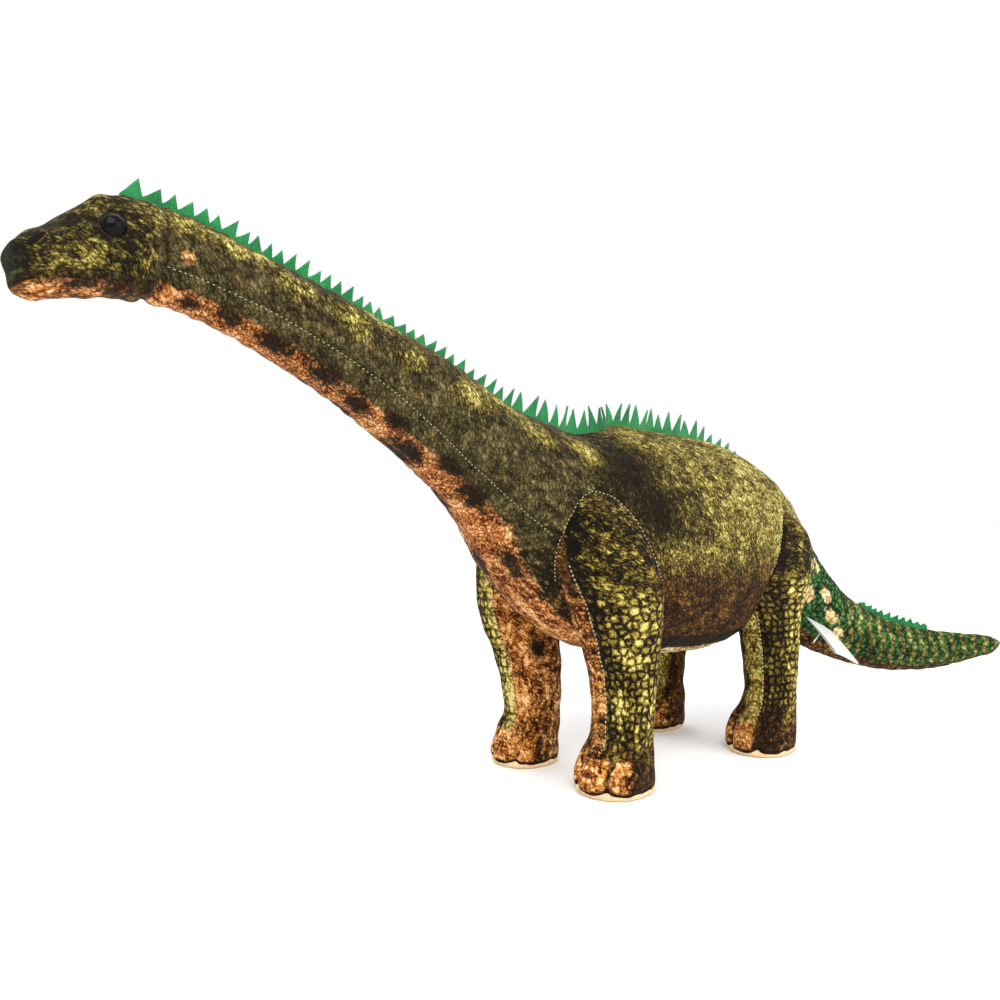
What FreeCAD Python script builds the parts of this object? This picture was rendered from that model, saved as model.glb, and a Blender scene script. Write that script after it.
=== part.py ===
import FreeCAD, Part
import math
import os
from collections import namedtuple
from FreeCAD import Vector

# A long-necked stuffed dinosaur, standing on four sewn legs.
# The head points along -X, the animal's right side is +Y and the floor is z = 0.
# Every length is in millimetres and every angle in degrees.

# ---------------------------------------------------------------- driving dimensions
SKIN = 1.5                 # pile fabric of a sewn panel
FILL_EASE = 0.6            # ease between a panel and the stuffing behind it
JOINT_EASE = 0.5           # clearance round each flexing place
FELT = 1.2                 # felt of the spine strip
SLOT_HALF = 1.1            # half width of the top seam where the felt is sewn in
SEAM_EASE = 0.25           # hairline between two panels at a plain seam
STRIP_ROOT = 0.9           # depth of the felt below the fabric's face
SOLE = 1.5                 # sole fabric, lying flat on the floor
TIP_WALL = 0.7             # a panel never takes more than this share of a small section

# The origin is below the middle of the overall box.
FRAME_SHIFT = Vector(-34.0, 18.5, 0)

Station = namedtuple("Station", "x y z half_width rise drop")

# The stuffed tube from the snout, over the back, to the curled tail.
# Each station is a section square to the centreline: half width, height above and below.
TRUNK = [
    Station(-299, 0, 240, 3, 2.5, 2.5),
    Station(-296, 0, 240, 10, 8, 8),
    Station(-290, 0, 241.5, 16, 12, 12.5),
    Station(-278, 0, 246, 20, 16, 14),
    Station(-264, 0, 253, 21.5, 21, 17),
    Station(-250, 0, 258, 22, 22, 20),
    Station(-228, 0, 256.5, 19.5, 20.5, 18),
    Station(-200, 0, 248.5, 19.5, 20.5, 18),
    Station(-170, 0, 236, 22, 23.5, 20),
    Station(-115, 0, 209, 28, 29, 24.5),
    Station(-60, 0, 176, 36, 35, 31.5),
    Station(-42, 0, 165.5, 41.5, 39.5, 39),
    Station(-24, 0, 154, 48, 45.5, 48),
    Station(18, 0, 137, 60, 64, 60),
    Station(66, 0, 134, 64, 68, 66),
    Station(116, 0, 136, 62, 62, 67),
    Station(154, 0, 132, 53, 57, 60),
    Station(190, -2, 118, 40, 41, 46),
    Station(218, -7, 98, 30.5, 29, 33),
    Station(250, -20, 73, 23.5, 22, 24),
    Station(285, -40, 56, 19, 17, 19.5),
    Station(320, -64, 50, 15, 13.5, 15),
    Station(346, -84, 51, 10, 9, 10),
    Station(360, -95, 52.5, 6, 5, 5.5),
    Station(366, -99.5, 53, 2.5, 2.2, 2.2),
]

# Flexing places: the station they turn about, the direction of the axis and the end radius.
Flex = namedtuple("Flex", "station axis radius")
HEAD_FLEX = Flex(6, Vector(0, 1, 0), 22.5)
NECK_FLEX = Flex(10, Vector(0, 1, 0), 39.0)
TAIL_FLEX = Flex(18, Vector(0, 0, 1), 34.5)

# Legs: the column's middle, the hip's place and size, and how far in the hip reaches.
Leg = namedtuple("Leg", "x y hip_x hip_z hip_radius inner_y rim_y outer_y sections")
FRONT_LEG = Leg(3.5, 38.0, 5.5, 118.0, 33.5, 19.2, 50.0, 64.0, [
    (9.0, -3.0, 23.5, 21.0),
    (22.0, -1.0, 20.0, 19.0),
    (60.0, 3.0, 19.0, 18.6),
    (95.0, 2.0, 24.0, 18.6),
    (118.0, 2.0, 29.0, 18.0),
])
REAR_LEG = Leg(135.0, 42.3, 143.0, 112.0, 29.5, 24.4, 48.0, 60.5, [
    (9.0, -2.0, 22.5, 20.0),
    (22.0, 0.0, 19.5, 18.4),
    (60.0, 7.0, 18.0, 17.6),
    (92.0, 8.0, 21.5, 17.6),
    (112.0, 8.0, 25.0, 17.2),
])
SOLE_INSET = 1.6           # the sole is this much smaller than the foot's widest section
HIP_ROUND = 3.0            # rounding of the hip's inner rim
HIP_WALL_EASE = 2.0        # from the hip's inner face to the torso

# Safety eyes with a shank and a washer.
EYE_POINT = Vector(-259.0, 20.7, 261.7)
EYE_OUT = Vector(-0.12, 0.95, 0.28)
EYE_RADIUS = 6.0
EYE_SINK = 0.6             # how far the eye's flat back presses into the pile
SHANK_RADIUS = 2.0
SHANK_LENGTH = 9.0
SHANK_HOLE_RADIUS = 2.2
WASHER_RADIUS = 7.0
WASHER_THICKNESS = 1.5
WASHER_DEPTH = 3.2         # from the fabric's face to the washer
EYE_CAVITY_RADIUS = 7.8
EYE_CAVITY_DEPTH = 11.5

# Nostrils: small oval patches let into the snout.
NOSTRIL_POINT = Vector(-285.2, 13.6, 252.4)
NOSTRIL_OUT = Vector(-0.40, 0.62, 0.62)
NOSTRIL_ALONG = Vector(0.85, 0.30, 0.30)
NOSTRIL_LONG = 3.7
NOSTRIL_SHORT = 1.4
NOSTRIL_DEPTH = 0.8
NOSTRIL_PROUD = 0.5

# Spine strips: each runs over part of the tube, with the pitch and height at its two ends.
Strip = namedtuple("Strip", "x_from x_to pitch_from pitch_to height_from height_to")
HEAD_STRIP = Strip(-252.0, -219.5, 6.5, 7.0, 6.0, 7.0)
NECK_STRIP = Strip(-209.0, -38.0, 7.4, 10.0, 7.0, 10.0)
TORSO_STRIP = Strip(-16.0, 171.0, 11.0, 12.0, 12.0, 12.0)
TAIL_STRIP = Strip(262.0, 318.0, 8.0, 7.0, 6.0, 4.5)
VALLEY_HEIGHT = 0.6        # felt left standing between two teeth
TOOTH_LEAN = 0.62          # place of the tooth's point within its pitch

# Care label and the thin tag filament beside it.
LABEL_ROOT = Vector(218.0, -31.0, 74.7)
LABEL_DOWN = Vector(-0.26, -0.764, -0.59)
LABEL_FACE = Vector(0.25, -0.64, 0.73)
LABEL_LENGTH = 38.0
LABEL_WIDTH = 30.0
LABEL_THICKNESS = 0.8
FILAMENT_FREE_END = Vector(197.5, -41.0, 63.0)
FILAMENT_HELD_END = Vector(212.0, -39.5, 70.0)
FILAMENT_RADIUS = 0.5

FAR = 400.0                # larger than any part of the toy


# ---------------------------------------------------------------- sections of the tube
def unit(vector):
    """Return the vector at length one."""
    return Vector(vector).normalize()


def section_frame(index):
    """Centre, along, side and up directions of the tube at one station."""
    here = TRUNK[index]
    before = TRUNK[max(index - 1, 0)]
    after = TRUNK[min(index + 1, len(TRUNK) - 1)]
    centre = Vector(here.x, here.y, here.z)
    along = unit(Vector(after.x - before.x, after.y - before.y, after.z - before.z))
    side = unit(Vector(0, 0, 1).cross(along))
    up = unit(along.cross(side))
    return centre, along, side, up


def section_arc(index, across, height, start, end):
    """Elliptical arc in a section; the angle runs from the side towards up."""
    centre, along, side, up = section_frame(index)
    circle = Part.Circle(Vector(0, 0, 0), Vector(0, 0, 1), 1.0)
    arc = Part.ArcOfCircle(circle, math.radians(start), math.radians(end)).toShape()
    matrix = FreeCAD.Matrix(
        side.x * across, up.x * height, along.x, centre.x,
        side.y * across, up.y * height, along.y, centre.y,
        side.z * across, up.z * height, along.z, centre.z,
        0, 0, 0, 1)
    return arc.transformGeometry(matrix)


def reduced(value, inset):
    """A half size made smaller by an inset, but never down to nothing."""
    return max(value - inset, value * (1.0 - TIP_WALL))


def full_section(index, inset):
    """Closed outline of the whole tube at one station."""
    here = TRUNK[index]
    across = reduced(here.half_width, inset)
    rise = reduced(here.rise, inset)
    right = section_arc(index, across, rise, 0, 90)
    left = section_arc(index, across, rise, 90, 180)
    under = section_arc(index, across, reduced(here.drop, inset), 180, 360)
    return Part.Wire([right, left, under])


def panel_section(index, quarter, slotted):
    """Closed outline of one panel's thickness: 'left', 'right' or 'under'."""
    here = TRUNK[index]
    height = here.drop if quarter == "under" else here.rise
    inner_across = reduced(here.half_width, SKIN)
    inner_height = reduced(height, SKIN)
    slot = min(SLOT_HALF if slotted else SEAM_EASE / 2, 0.4 * inner_across)
    outer_turn = math.degrees(math.asin(slot / here.half_width))
    inner_turn = math.degrees(math.asin(slot / inner_across))
    seam_turn = math.degrees(SEAM_EASE / height)
    angles = {
        "right": (seam_turn, 90 - outer_turn, 90 - inner_turn),
        "left": (180 - seam_turn, 90 + outer_turn, 90 + inner_turn),
        "under": (180, 360, 360),
    }
    start, outer_end, inner_end = angles[quarter]
    outer = section_arc(index, here.half_width, height, *sorted((start, outer_end)))
    inner = section_arc(index, inner_across, inner_height, *sorted((start, inner_end)))
    ends = [Part.makeLine(outer.Vertexes[0].Point, inner.Vertexes[0].Point),
            Part.makeLine(outer.Vertexes[-1].Point, inner.Vertexes[-1].Point)]
    return Part.Wire(Part.__sortEdges__([outer, ends[0], inner, ends[1]]))


def tube(first, last, inset):
    """Solid length of the stuffed tube between two stations."""
    wires = [full_section(index, inset) for index in range(first, last + 1)]
    return Part.makeLoft(wires, True, False)


def panel(first, last, quarter, slot_range=(0, len(TRUNK))):
    """One sewn panel between two stations."""
    wires = []
    for index in range(first, last + 1):
        slotted = slot_range[0] <= index <= slot_range[1]
        wires.append(panel_section(index, quarter, slotted))
    return Part.makeLoft(wires, True, False)


# ---------------------------------------------------------------- flexing places
def flex_cylinder(flex, radius):
    """Round bar about a flexing place's axis, long enough to pass through the toy."""
    centre = section_frame(flex.station)[0]
    return Part.makeCylinder(radius, 2 * FAR, centre - flex.axis * FAR, flex.axis)


def make_socket(shape, flex):
    """Hollow the parent's end so that the child's round end turns in it."""
    return shape.cut(flex_cylinder(flex, flex.radius + JOINT_EASE))


def make_round_end(shape, flex, towards):
    """Round the child's end; towards is +1 if the parent lies at the higher stations."""
    centre, along, side, up = section_frame(flex.station)
    rotation = FreeCAD.Rotation(along * towards, side, up, "XZY")
    block = Part.makeBox(FAR, FAR, FAR, Vector(0, -FAR / 2, -FAR / 2))
    block.Placement = FreeCAD.Placement(centre, rotation).multiply(block.Placement)
    return shape.cut(block.cut(flex_cylinder(flex, flex.radius)))


# ---------------------------------------------------------------- legs
def hip_disc(leg, inset):
    """Rounded disc about the hip's axis, domed on the outer side."""
    radius = leg.hip_radius - inset
    inner_y = leg.inner_y + inset
    outer_y = leg.outer_y - inset
    corner = HIP_ROUND - 0.5 * inset
    middle = math.sqrt(0.5)
    rim_start = Vector(radius - corner, inner_y, 0)
    rim_middle = Vector(radius - corner * (1 - middle), inner_y + corner * (1 - middle), 0)
    rim_end = Vector(radius, inner_y + corner, 0)
    dome_start = Vector(radius, leg.rim_y, 0)
    dome_middle = Vector(radius * 0.56, leg.rim_y + (outer_y - leg.rim_y) * 0.72, 0)
    apex = Vector(0, outer_y, 0)
    edges = [
        Part.makeLine(Vector(0, inner_y, 0), rim_start),
        Part.Arc(rim_start, rim_middle, rim_end).toShape(),
        Part.makeLine(rim_end, dome_start),
        Part.Arc(dome_start, dome_middle, apex).toShape(),
        Part.makeLine(apex, Vector(0, inner_y, 0)),
    ]
    disc = Part.Face(Part.Wire(edges)).revolve(Vector(0, 0, 0), Vector(0, 1, 0), 360)
    disc.translate(Vector(leg.hip_x, 0, leg.hip_z))
    return disc


def leg_ellipse(leg, height, forward, half_length, half_width):
    """Level oval section of a leg, longer than it is wide."""
    centre = Vector(leg.x + forward, leg.y, height)
    return Part.Wire([Part.Ellipse(centre, half_length, half_width).toShape()])


def leg_solid(leg, inset, floor):
    """A leg's whole outer shape, made smaller by an inset, standing on a floor height."""
    height, forward, half_length, half_width = leg.sections[0]
    wires = [leg_ellipse(leg, floor, forward, half_length - SOLE_INSET - inset,
                         half_width - SOLE_INSET - inset)]
    for height, forward, half_length, half_width in leg.sections:
        wires.append(leg_ellipse(leg, height, forward, half_length - inset,
                                 half_width - inset))
    column = Part.makeLoft(wires, True, False)
    return column.fuse(hip_disc(leg, inset)).removeSplitter()


def sole_plate(leg):
    """Flat sole that closes the foot and stands on the floor."""
    height, forward, half_length, half_width = leg.sections[0]
    outline = leg_ellipse(leg, 0.0, forward, half_length - SOLE_INSET, half_width - SOLE_INSET)
    return Part.Face(outline).extrude(Vector(0, 0, SOLE))


def leg_nodes(leg, name, mirrored):
    """Stuffing, outer panel, inner panel and sole of one leg."""
    skin = leg_solid(leg, 0.0, SOLE).cut(leg_solid(leg, SKIN, SOLE - 1.0))
    outer_half = Part.makeBox(FAR, FAR, FAR, Vector(leg.x - FAR / 2, leg.y, -FAR / 2))
    pieces = {
        name + "_stuffing": leg_solid(leg, SKIN + FILL_EASE, SOLE + FILL_EASE),
        name + "_outer_panel": skin.common(outer_half),
        name + "_inner_panel": skin.cut(outer_half),
        name + "_sole": sole_plate(leg),
    }
    if mirrored:
        for key in pieces:
            pieces[key] = pieces[key].mirror(Vector(0, 0, 0), Vector(0, 1, 0))
    return pieces


def leg_slot(leg, mirrored):
    """Room in the torso for a hip and for the leg's swing below it."""
    radius = leg.hip_radius + JOINT_EASE
    wall = leg.inner_y - HIP_WALL_EASE
    slot = Part.makeCylinder(radius, FAR, Vector(leg.hip_x, wall, leg.hip_z), Vector(0, 1, 0))
    below = Part.makeBox(2 * radius, FAR, FAR,
                         Vector(leg.hip_x - radius, wall, leg.hip_z - FAR))
    slot = slot.fuse(below).removeSplitter()
    return slot.mirror(Vector(0, 0, 0), Vector(0, 1, 0)) if mirrored else slot


# ---------------------------------------------------------------- spine strips
def ridge_curves():
    """Smooth curves along the top of the tube: the ridge itself and its up direction."""
    points, tips = [], []
    for index, here in enumerate(TRUNK):
        centre, along, side, up = section_frame(index)
        points.append(centre + up * here.rise)
        tips.append(centre + up * (here.rise + 10.0))
    ridge = Part.BSplineCurve()
    ridge.interpolate(points)
    tip_line = Part.BSplineCurve()
    tip_line.interpolate(tips, Parameters=ridge.getKnots())
    return ridge, tip_line


def ridge_parameter(ridge, x):
    """Parameter of the ridge at a given x, found by halving."""
    low, high = ridge.FirstParameter, ridge.LastParameter
    for _ in range(50):
        middle = 0.5 * (low + high)
        if ridge.value(middle).x < x:
            low = middle
        else:
            high = middle
    return 0.5 * (low + high)


def strip_section(ridge, tip_line, x, height):
    """Upright rectangle across the felt at one place of the ridge."""
    parameter = ridge_parameter(ridge, x)
    foot = ridge.value(parameter)
    up = unit(tip_line.value(parameter) - foot)
    side = unit(up.cross(ridge.tangent(parameter)[0]))
    low = foot - up * STRIP_ROOT
    high = foot + up * height
    half = side * (FELT / 2)
    return Part.makePolygon([low - half, low + half, high + half, high - half, low - half])


def spine_strip(strip):
    """Felt strip with a zigzag edge whose teeth lean towards the tail."""
    ridge, tip_line = ridge_curves()
    span = strip.x_to - strip.x_from
    count = round(span / (0.5 * (strip.pitch_from + strip.pitch_to)))
    growth = (strip.pitch_to - strip.pitch_from) / (count - 1)
    pitches = [strip.pitch_from + growth * number for number in range(count)]
    scale = span / sum(pitches)
    x = strip.x_from
    wires = [strip_section(ridge, tip_line, x, VALLEY_HEIGHT)]
    for number, pitch in enumerate(pitches):
        share = number / (count - 1)
        height = strip.height_from + (strip.height_to - strip.height_from) * share
        wires.append(strip_section(ridge, tip_line, x + TOOTH_LEAN * pitch * scale, height))
        x += pitch * scale
        wires.append(strip_section(ridge, tip_line, x, VALLEY_HEIGHT))
    return Part.makeLoft(wires, True, True)


# ---------------------------------------------------------------- eyes, nostrils, label
def on_side(vector, sign):
    """A right-side vector moved to the side with the given sign of y."""
    return Vector(vector.x, vector.y * sign, vector.z)


def eye_solids(sign):
    """The eye, its washer, and the two shapes that make room for them."""
    out = unit(on_side(EYE_OUT, sign))
    back = on_side(EYE_POINT, sign) - out * EYE_SINK
    dome = Part.makeSphere(EYE_RADIUS, back, out, 0, 90, 360)
    shank = Part.makeCylinder(SHANK_RADIUS, SHANK_LENGTH, back - out * SHANK_LENGTH, out)
    washer_back = on_side(EYE_POINT, sign) - out * (WASHER_DEPTH + WASHER_THICKNESS)
    washer = Part.makeCylinder(WASHER_RADIUS, WASHER_THICKNESS, washer_back, out)
    washer = washer.cut(shank)
    seat = Part.makeCylinder(EYE_RADIUS + 0.2, FAR / 4, back, out)
    hole = Part.makeCylinder(SHANK_HOLE_RADIUS, FAR / 4, back - out * SHANK_LENGTH, out)
    cavity = Part.makeCylinder(EYE_CAVITY_RADIUS, FAR / 4, back - out * EYE_CAVITY_DEPTH, out)
    return dome.fuse(shank).removeSplitter(), washer, seat.fuse(hole), cavity


def nostril_patch(sign):
    """Small oval patch, let into the snout."""
    rotation = FreeCAD.Rotation(on_side(NOSTRIL_ALONG, sign), Vector(0, 0, 0),
                                on_side(NOSTRIL_OUT, sign), "ZXY")
    oval = Part.Face(Part.Wire([Part.Ellipse(Vector(0, 0, 0), NOSTRIL_LONG,
                                             NOSTRIL_SHORT).toShape()]))
    patch = oval.extrude(Vector(0, 0, NOSTRIL_DEPTH + NOSTRIL_PROUD))
    patch.translate(Vector(0, 0, -NOSTRIL_DEPTH))
    patch.Placement = FreeCAD.Placement(on_side(NOSTRIL_POINT, sign), rotation)
    return patch


def care_label(tail_shape):
    """Folded satin label that sticks out of the seam low on the left side of the tail."""
    rotation = FreeCAD.Rotation(LABEL_DOWN, LABEL_FACE, Vector(0, 0, 0), "XYZ")
    plate = Part.makeBox(LABEL_LENGTH, LABEL_THICKNESS, LABEL_WIDTH,
                         Vector(0, 0, -LABEL_WIDTH / 2))
    plate.Placement = FreeCAD.Placement(LABEL_ROOT, rotation).multiply(plate.Placement)
    outside = plate.cut(tail_shape)
    return max(outside.Solids, key=lambda solid: solid.Volume)


def tag_filament(label):
    """Thin plastic filament left beside the label."""
    line = FILAMENT_HELD_END - FILAMENT_FREE_END
    rod = Part.makeCylinder(FILAMENT_RADIUS, line.Length, FILAMENT_FREE_END, line)
    outside = rod.cut(label)
    return min(outside.Solids, key=lambda solid: solid.CenterOfMass.x)


# ---------------------------------------------------------------- bodies
def head_nodes():
    """Head: stuffing, side and chin panels, felt, eyes, washers and nostrils."""
    last = HEAD_FLEX.station + 2
    inset = SKIN + FILL_EASE
    pieces = {
        "head_stuffing": tube(0, last, inset),
        "head_panel_left": panel(0, last, "left", (4, last)),
        "head_panel_right": panel(0, last, "right", (4, last)),
        "chin_panel": panel(0, last, "under"),
    }
    for name in pieces:
        pieces[name] = make_round_end(pieces[name], HEAD_FLEX, +1)
    for side, sign in (("left", -1), ("right", 1)):
        eye, washer, seat, cavity = eye_solids(sign)
        patch = nostril_patch(sign)
        skin = "head_panel_" + side
        pieces[skin] = pieces[skin].cut(seat).cut(patch)
        pieces["head_stuffing"] = pieces["head_stuffing"].cut(cavity)
        pieces["eye_" + side] = eye
        pieces["eye_washer_" + side] = washer
        pieces["nostril_" + side] = patch
    pieces["head_spine_strip"] = spine_strip(HEAD_STRIP)
    return pieces


def neck_nodes():
    """Neck: stuffing, two side panels, the underside and the felt."""
    first = HEAD_FLEX.station
    last = NECK_FLEX.station + 2
    pieces = {
        "neck_stuffing": tube(first, last, SKIN + FILL_EASE),
        "neck_panel_left": panel(first, last, "left"),
        "neck_panel_right": panel(first, last, "right"),
        "neck_underside_panel": panel(first, last, "under"),
    }
    for name in pieces:
        pieces[name] = make_round_end(make_socket(pieces[name], HEAD_FLEX), NECK_FLEX, +1)
    pieces["neck_spine_strip"] = spine_strip(NECK_STRIP)
    return pieces


def torso_nodes():
    """Torso: stuffing, flank panels, the belly and the felt, with room for the hips."""
    first = NECK_FLEX.station
    last = TAIL_FLEX.station
    pieces = {
        "torso_stuffing": tube(first, last, SKIN + FILL_EASE),
        "torso_panel_left": panel(first, last, "left"),
        "torso_panel_right": panel(first, last, "right"),
        "belly_panel": panel(first, last, "under"),
    }
    slots = [leg_slot(leg, mirrored) for leg in (FRONT_LEG, REAR_LEG)
             for mirrored in (False, True)]
    for name in pieces:
        shape = make_socket(make_socket(pieces[name], NECK_FLEX), TAIL_FLEX)
        for slot in slots:
            shape = shape.cut(slot)
        pieces[name] = shape
    pieces["back_spine_strip"] = spine_strip(TORSO_STRIP)
    return pieces


def tail_nodes():
    """Tail: stuffing, two side panels, the underside, the felt and the label."""
    first = TAIL_FLEX.station - 2
    last = len(TRUNK) - 1
    pieces = {
        "tail_stuffing": tube(first, last, SKIN + FILL_EASE),
        "tail_panel_left": panel(first, last, "left", (0, last - 3)),
        "tail_panel_right": panel(first, last, "right", (0, last - 3)),
        "tail_underside_panel": panel(first, last, "under"),
    }
    for name in pieces:
        pieces[name] = make_round_end(pieces[name], TAIL_FLEX, -1)
    pieces["tail_spine_strip"] = spine_strip(TAIL_STRIP)
    pieces["care_label"] = care_label(tube(first, last, 0.0))
    pieces["tag_filament"] = tag_filament(pieces["care_label"])
    return pieces


def all_nodes():
    """Every piece of the toy, keyed by its node name."""
    pieces = {}
    for group in (head_nodes(), neck_nodes(), torso_nodes(), tail_nodes()):
        pieces.update(group)
    for leg, end in ((FRONT_LEG, "front"), (REAR_LEG, "rear")):
        pieces.update(leg_nodes(leg, end + "_right_leg", False))
        pieces.update(leg_nodes(leg, end + "_left_leg", True))
    return pieces


def main():
    os.makedirs("parts", exist_ok=True)
    box = FreeCAD.BoundBox()
    for name, shape in sorted(all_nodes().items()):
        shape = shape.copy()
        shape.translate(FRAME_SHIFT)
        if shape.ShapeType == "Compound" and len(shape.Solids) == 1:
            shape = shape.Solids[0]
        box.add(shape.BoundBox)
        shape.exportStep("parts/" + name + ".step")
        print(name, len(shape.Solids), shape.isValid(), round(shape.Volume / 1000.0, 2))
    for label, flex in (("head", HEAD_FLEX), ("neck", NECK_FLEX), ("tail", TAIL_FLEX)):
        print(label, "turns about", section_frame(flex.station)[0] + FRAME_SHIFT)
    print("box", box, "centre", box.Center)


main()
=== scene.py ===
"""A stuffed dinosaur: printed plush, felt spines, bead eyes and a sewn-in satin label."""
import logging
import math
import random
from dataclasses import dataclass, replace
from enum import Enum
from typing import Callable, Sequence

import bmesh
import bpy
import numpy as np
from mathutils import Matrix, Vector
from mathutils.bvhtree import BVHTree


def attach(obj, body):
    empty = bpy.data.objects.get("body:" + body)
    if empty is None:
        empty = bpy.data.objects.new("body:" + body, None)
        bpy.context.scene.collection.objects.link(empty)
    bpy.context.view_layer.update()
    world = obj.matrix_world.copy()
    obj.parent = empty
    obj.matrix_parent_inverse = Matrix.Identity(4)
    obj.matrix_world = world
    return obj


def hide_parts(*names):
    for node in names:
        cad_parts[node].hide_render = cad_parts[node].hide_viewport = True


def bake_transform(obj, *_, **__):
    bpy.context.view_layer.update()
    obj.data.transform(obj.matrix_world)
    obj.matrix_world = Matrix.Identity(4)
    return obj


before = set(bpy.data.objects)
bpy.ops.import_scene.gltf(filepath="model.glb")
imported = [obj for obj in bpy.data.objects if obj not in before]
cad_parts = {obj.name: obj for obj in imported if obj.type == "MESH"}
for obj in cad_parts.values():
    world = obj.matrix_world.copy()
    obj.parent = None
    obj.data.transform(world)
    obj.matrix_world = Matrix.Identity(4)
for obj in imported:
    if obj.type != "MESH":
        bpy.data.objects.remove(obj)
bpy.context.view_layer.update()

LOG = logging.getLogger("dinosaur")
MM = 0.001
SHIFT = np.array([-34.0, 18.5, 0.0])  # the toy's own millimetres to the middle of the floor
UV_NAME = "skin"


# ---------------------------------------------------------------- small helpers

def place(points: np.ndarray | Sequence[float]) -> np.ndarray:
    """Turns points in the toy's own millimetres into metres in the shared frame."""
    return (np.asarray(points, float) + SHIFT) * MM


def linear(colour: str) -> tuple[float, float, float, float]:
    """Turns an sRGB hex colour into the linear one that a shader socket holds.

    Args:
        colour: six hex digits after a hash.

    Returns:
        Red, green, blue and a full alpha.
    """
    parts = [int(colour[i:i + 2], 16) / 255 for i in (1, 3, 5)]
    red, green, blue = (c / 12.92 if c <= 0.04045 else ((c + 0.055) / 1.055) ** 2.4 for c in parts)
    return red, green, blue, 1.0


def step(value: np.ndarray, low: float, high: float) -> np.ndarray:
    """Rises smoothly from 0 at low to 1 at high, or falls where low is the larger.

    Args:
        value: what is tested.
        low: where the result is 0.
        high: where the result is 1.

    Returns:
        The smooth step, same shape as value.
    """
    share = np.clip((np.asarray(value, float) - low) / (high - low), 0, 1)
    return share * share * (3 - 2 * share)


def band(value: np.ndarray, low: float, high: float, edge: float) -> np.ndarray:
    """Is 1 between low and high and fades to 0 over edge outside them."""
    return step(value, low - edge, low) * step(value, high + edge, high)


def unit(vectors: np.ndarray) -> np.ndarray:
    """Scales each row to length 1."""
    return vectors / np.maximum(np.linalg.norm(vectors, axis=-1, keepdims=True), 1e-9)


def add_node(tree: bpy.types.NodeTree, kind: str, links: dict | None = None,
             **settings: object) -> bpy.types.Node:
    """Adds one node with its settings, and links or sets its inputs.

    Args:
        tree: the node tree.
        kind: the node's type name.
        links: input name or number to the socket or the value it gets.
        settings: the node's own properties.

    Returns:
        The new node.
    """
    node = tree.nodes.new(kind)
    for key, value in settings.items():
        setattr(node, key, value)
    for key, value in (links or {}).items():
        if isinstance(value, bpy.types.NodeSocket):
            tree.links.new(value, node.inputs[key])
        else:
            node.inputs[key].default_value = value
    return node


def new_material(name: str) -> tuple[bpy.types.Material, bpy.types.NodeTree, bpy.types.Node]:
    """Makes an empty material.

    Args:
        name: the real finish's name.

    Returns:
        The material, its tree and its output node.
    """
    material = bpy.data.materials.new(name)
    material.use_nodes = True
    material.node_tree.nodes.clear()
    return material, material.node_tree, add_node(material.node_tree, "ShaderNodeOutputMaterial")


def new_object(name: str, bm: bmesh.types.BMesh, finish: bpy.types.Material,
               smooth: bool = True) -> bpy.types.Object:
    """Turns a finished bmesh into an object at the origin.

    Args:
        name: the piece's name.
        bm: the mesh in progress, freed here.
        finish: its material.
        smooth: whether its faces are shaded smooth.

    Returns:
        The linked object.
    """
    mesh = bpy.data.meshes.new(name)
    bm.to_mesh(mesh)
    bm.free()
    mesh.materials.append(finish)
    mesh.polygons.foreach_set("use_smooth", [smooth] * len(mesh.polygons))
    piece = bpy.data.objects.new(name, mesh)
    bpy.context.scene.collection.objects.link(piece)
    return piece


def vertices(mesh: bpy.types.Mesh) -> np.ndarray:
    """Reads a mesh's vertices as rows of three.

    Args:
        mesh: the mesh to read.

    Returns:
        One row for each vertex, in metres.
    """
    flat = np.empty(len(mesh.vertices) * 3, np.float32)
    mesh.vertices.foreach_get("co", flat)
    return flat.reshape(-1, 3).astype(float)


def normals(mesh: bpy.types.Mesh) -> np.ndarray:
    """Reads a mesh's vertex normals as rows of three.

    Args:
        mesh: the mesh to read.

    Returns:
        One row for each vertex, each of length 1.
    """
    flat = np.empty(len(mesh.vertices) * 3, np.float32)
    mesh.vertex_normals.foreach_get("vector", flat)
    return flat.reshape(-1, 3).astype(float)


def set_vertices(mesh: bpy.types.Mesh, points: np.ndarray) -> None:
    """Writes a mesh's vertices."""
    mesh.vertices.foreach_set("co", points.astype(np.float32).ravel())
    mesh.update()


def set_weights(mesh: bpy.types.Mesh, weights: dict[str, np.ndarray]) -> None:
    """Stores one number per vertex under each name, for the print's inks."""
    for name, values in weights.items():
        layer = mesh.attributes.get(name) or mesh.attributes.new(name, "FLOAT", "POINT")
        layer.data.foreach_set("value", np.clip(values, 0, 1).astype(np.float32))


def corner_uv(mesh: bpy.types.Mesh) -> tuple[np.ndarray, np.ndarray]:
    """Reads the UV map by face corner and by vertex.

    Args:
        mesh: a wrapped mesh.

    Returns:
        One row per corner, and one row per vertex.
    """
    count = len(mesh.loops)
    flat, owner = np.empty(count * 2, np.float32), np.empty(count, np.int32)
    mesh.uv_layers[UV_NAME].data.foreach_get("uv", flat)
    mesh.loops.foreach_get("vertex_index", owner)
    corners = flat.reshape(-1, 2).astype(float)
    shared = np.zeros((len(mesh.vertices), 2))
    shared[owner] = corners
    return corners, shared


def set_corner_uv(mesh: bpy.types.Mesh, corners: np.ndarray) -> None:
    """Writes the UV map, one row per corner."""
    mesh.uv_layers[UV_NAME].data.foreach_set("uv", corners.astype(np.float32).ravel())


# ---------------------------------------------------------------- finishes

class Ground(Enum):
    """How the edge of an inked area looks."""

    SOFT = 0.30
    RAGGED = 0.14


@dataclass(frozen=True)
class Ink:
    """One ink of the print: the weight it follows, its tones from dark to light, and how light
    and lively it is."""

    weight: str
    tones: tuple[str, ...]
    level: float = 0.5
    contrast: float = 1.0
    ground: Ground = Ground.SOFT
    ragged: float = 1.6


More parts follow.
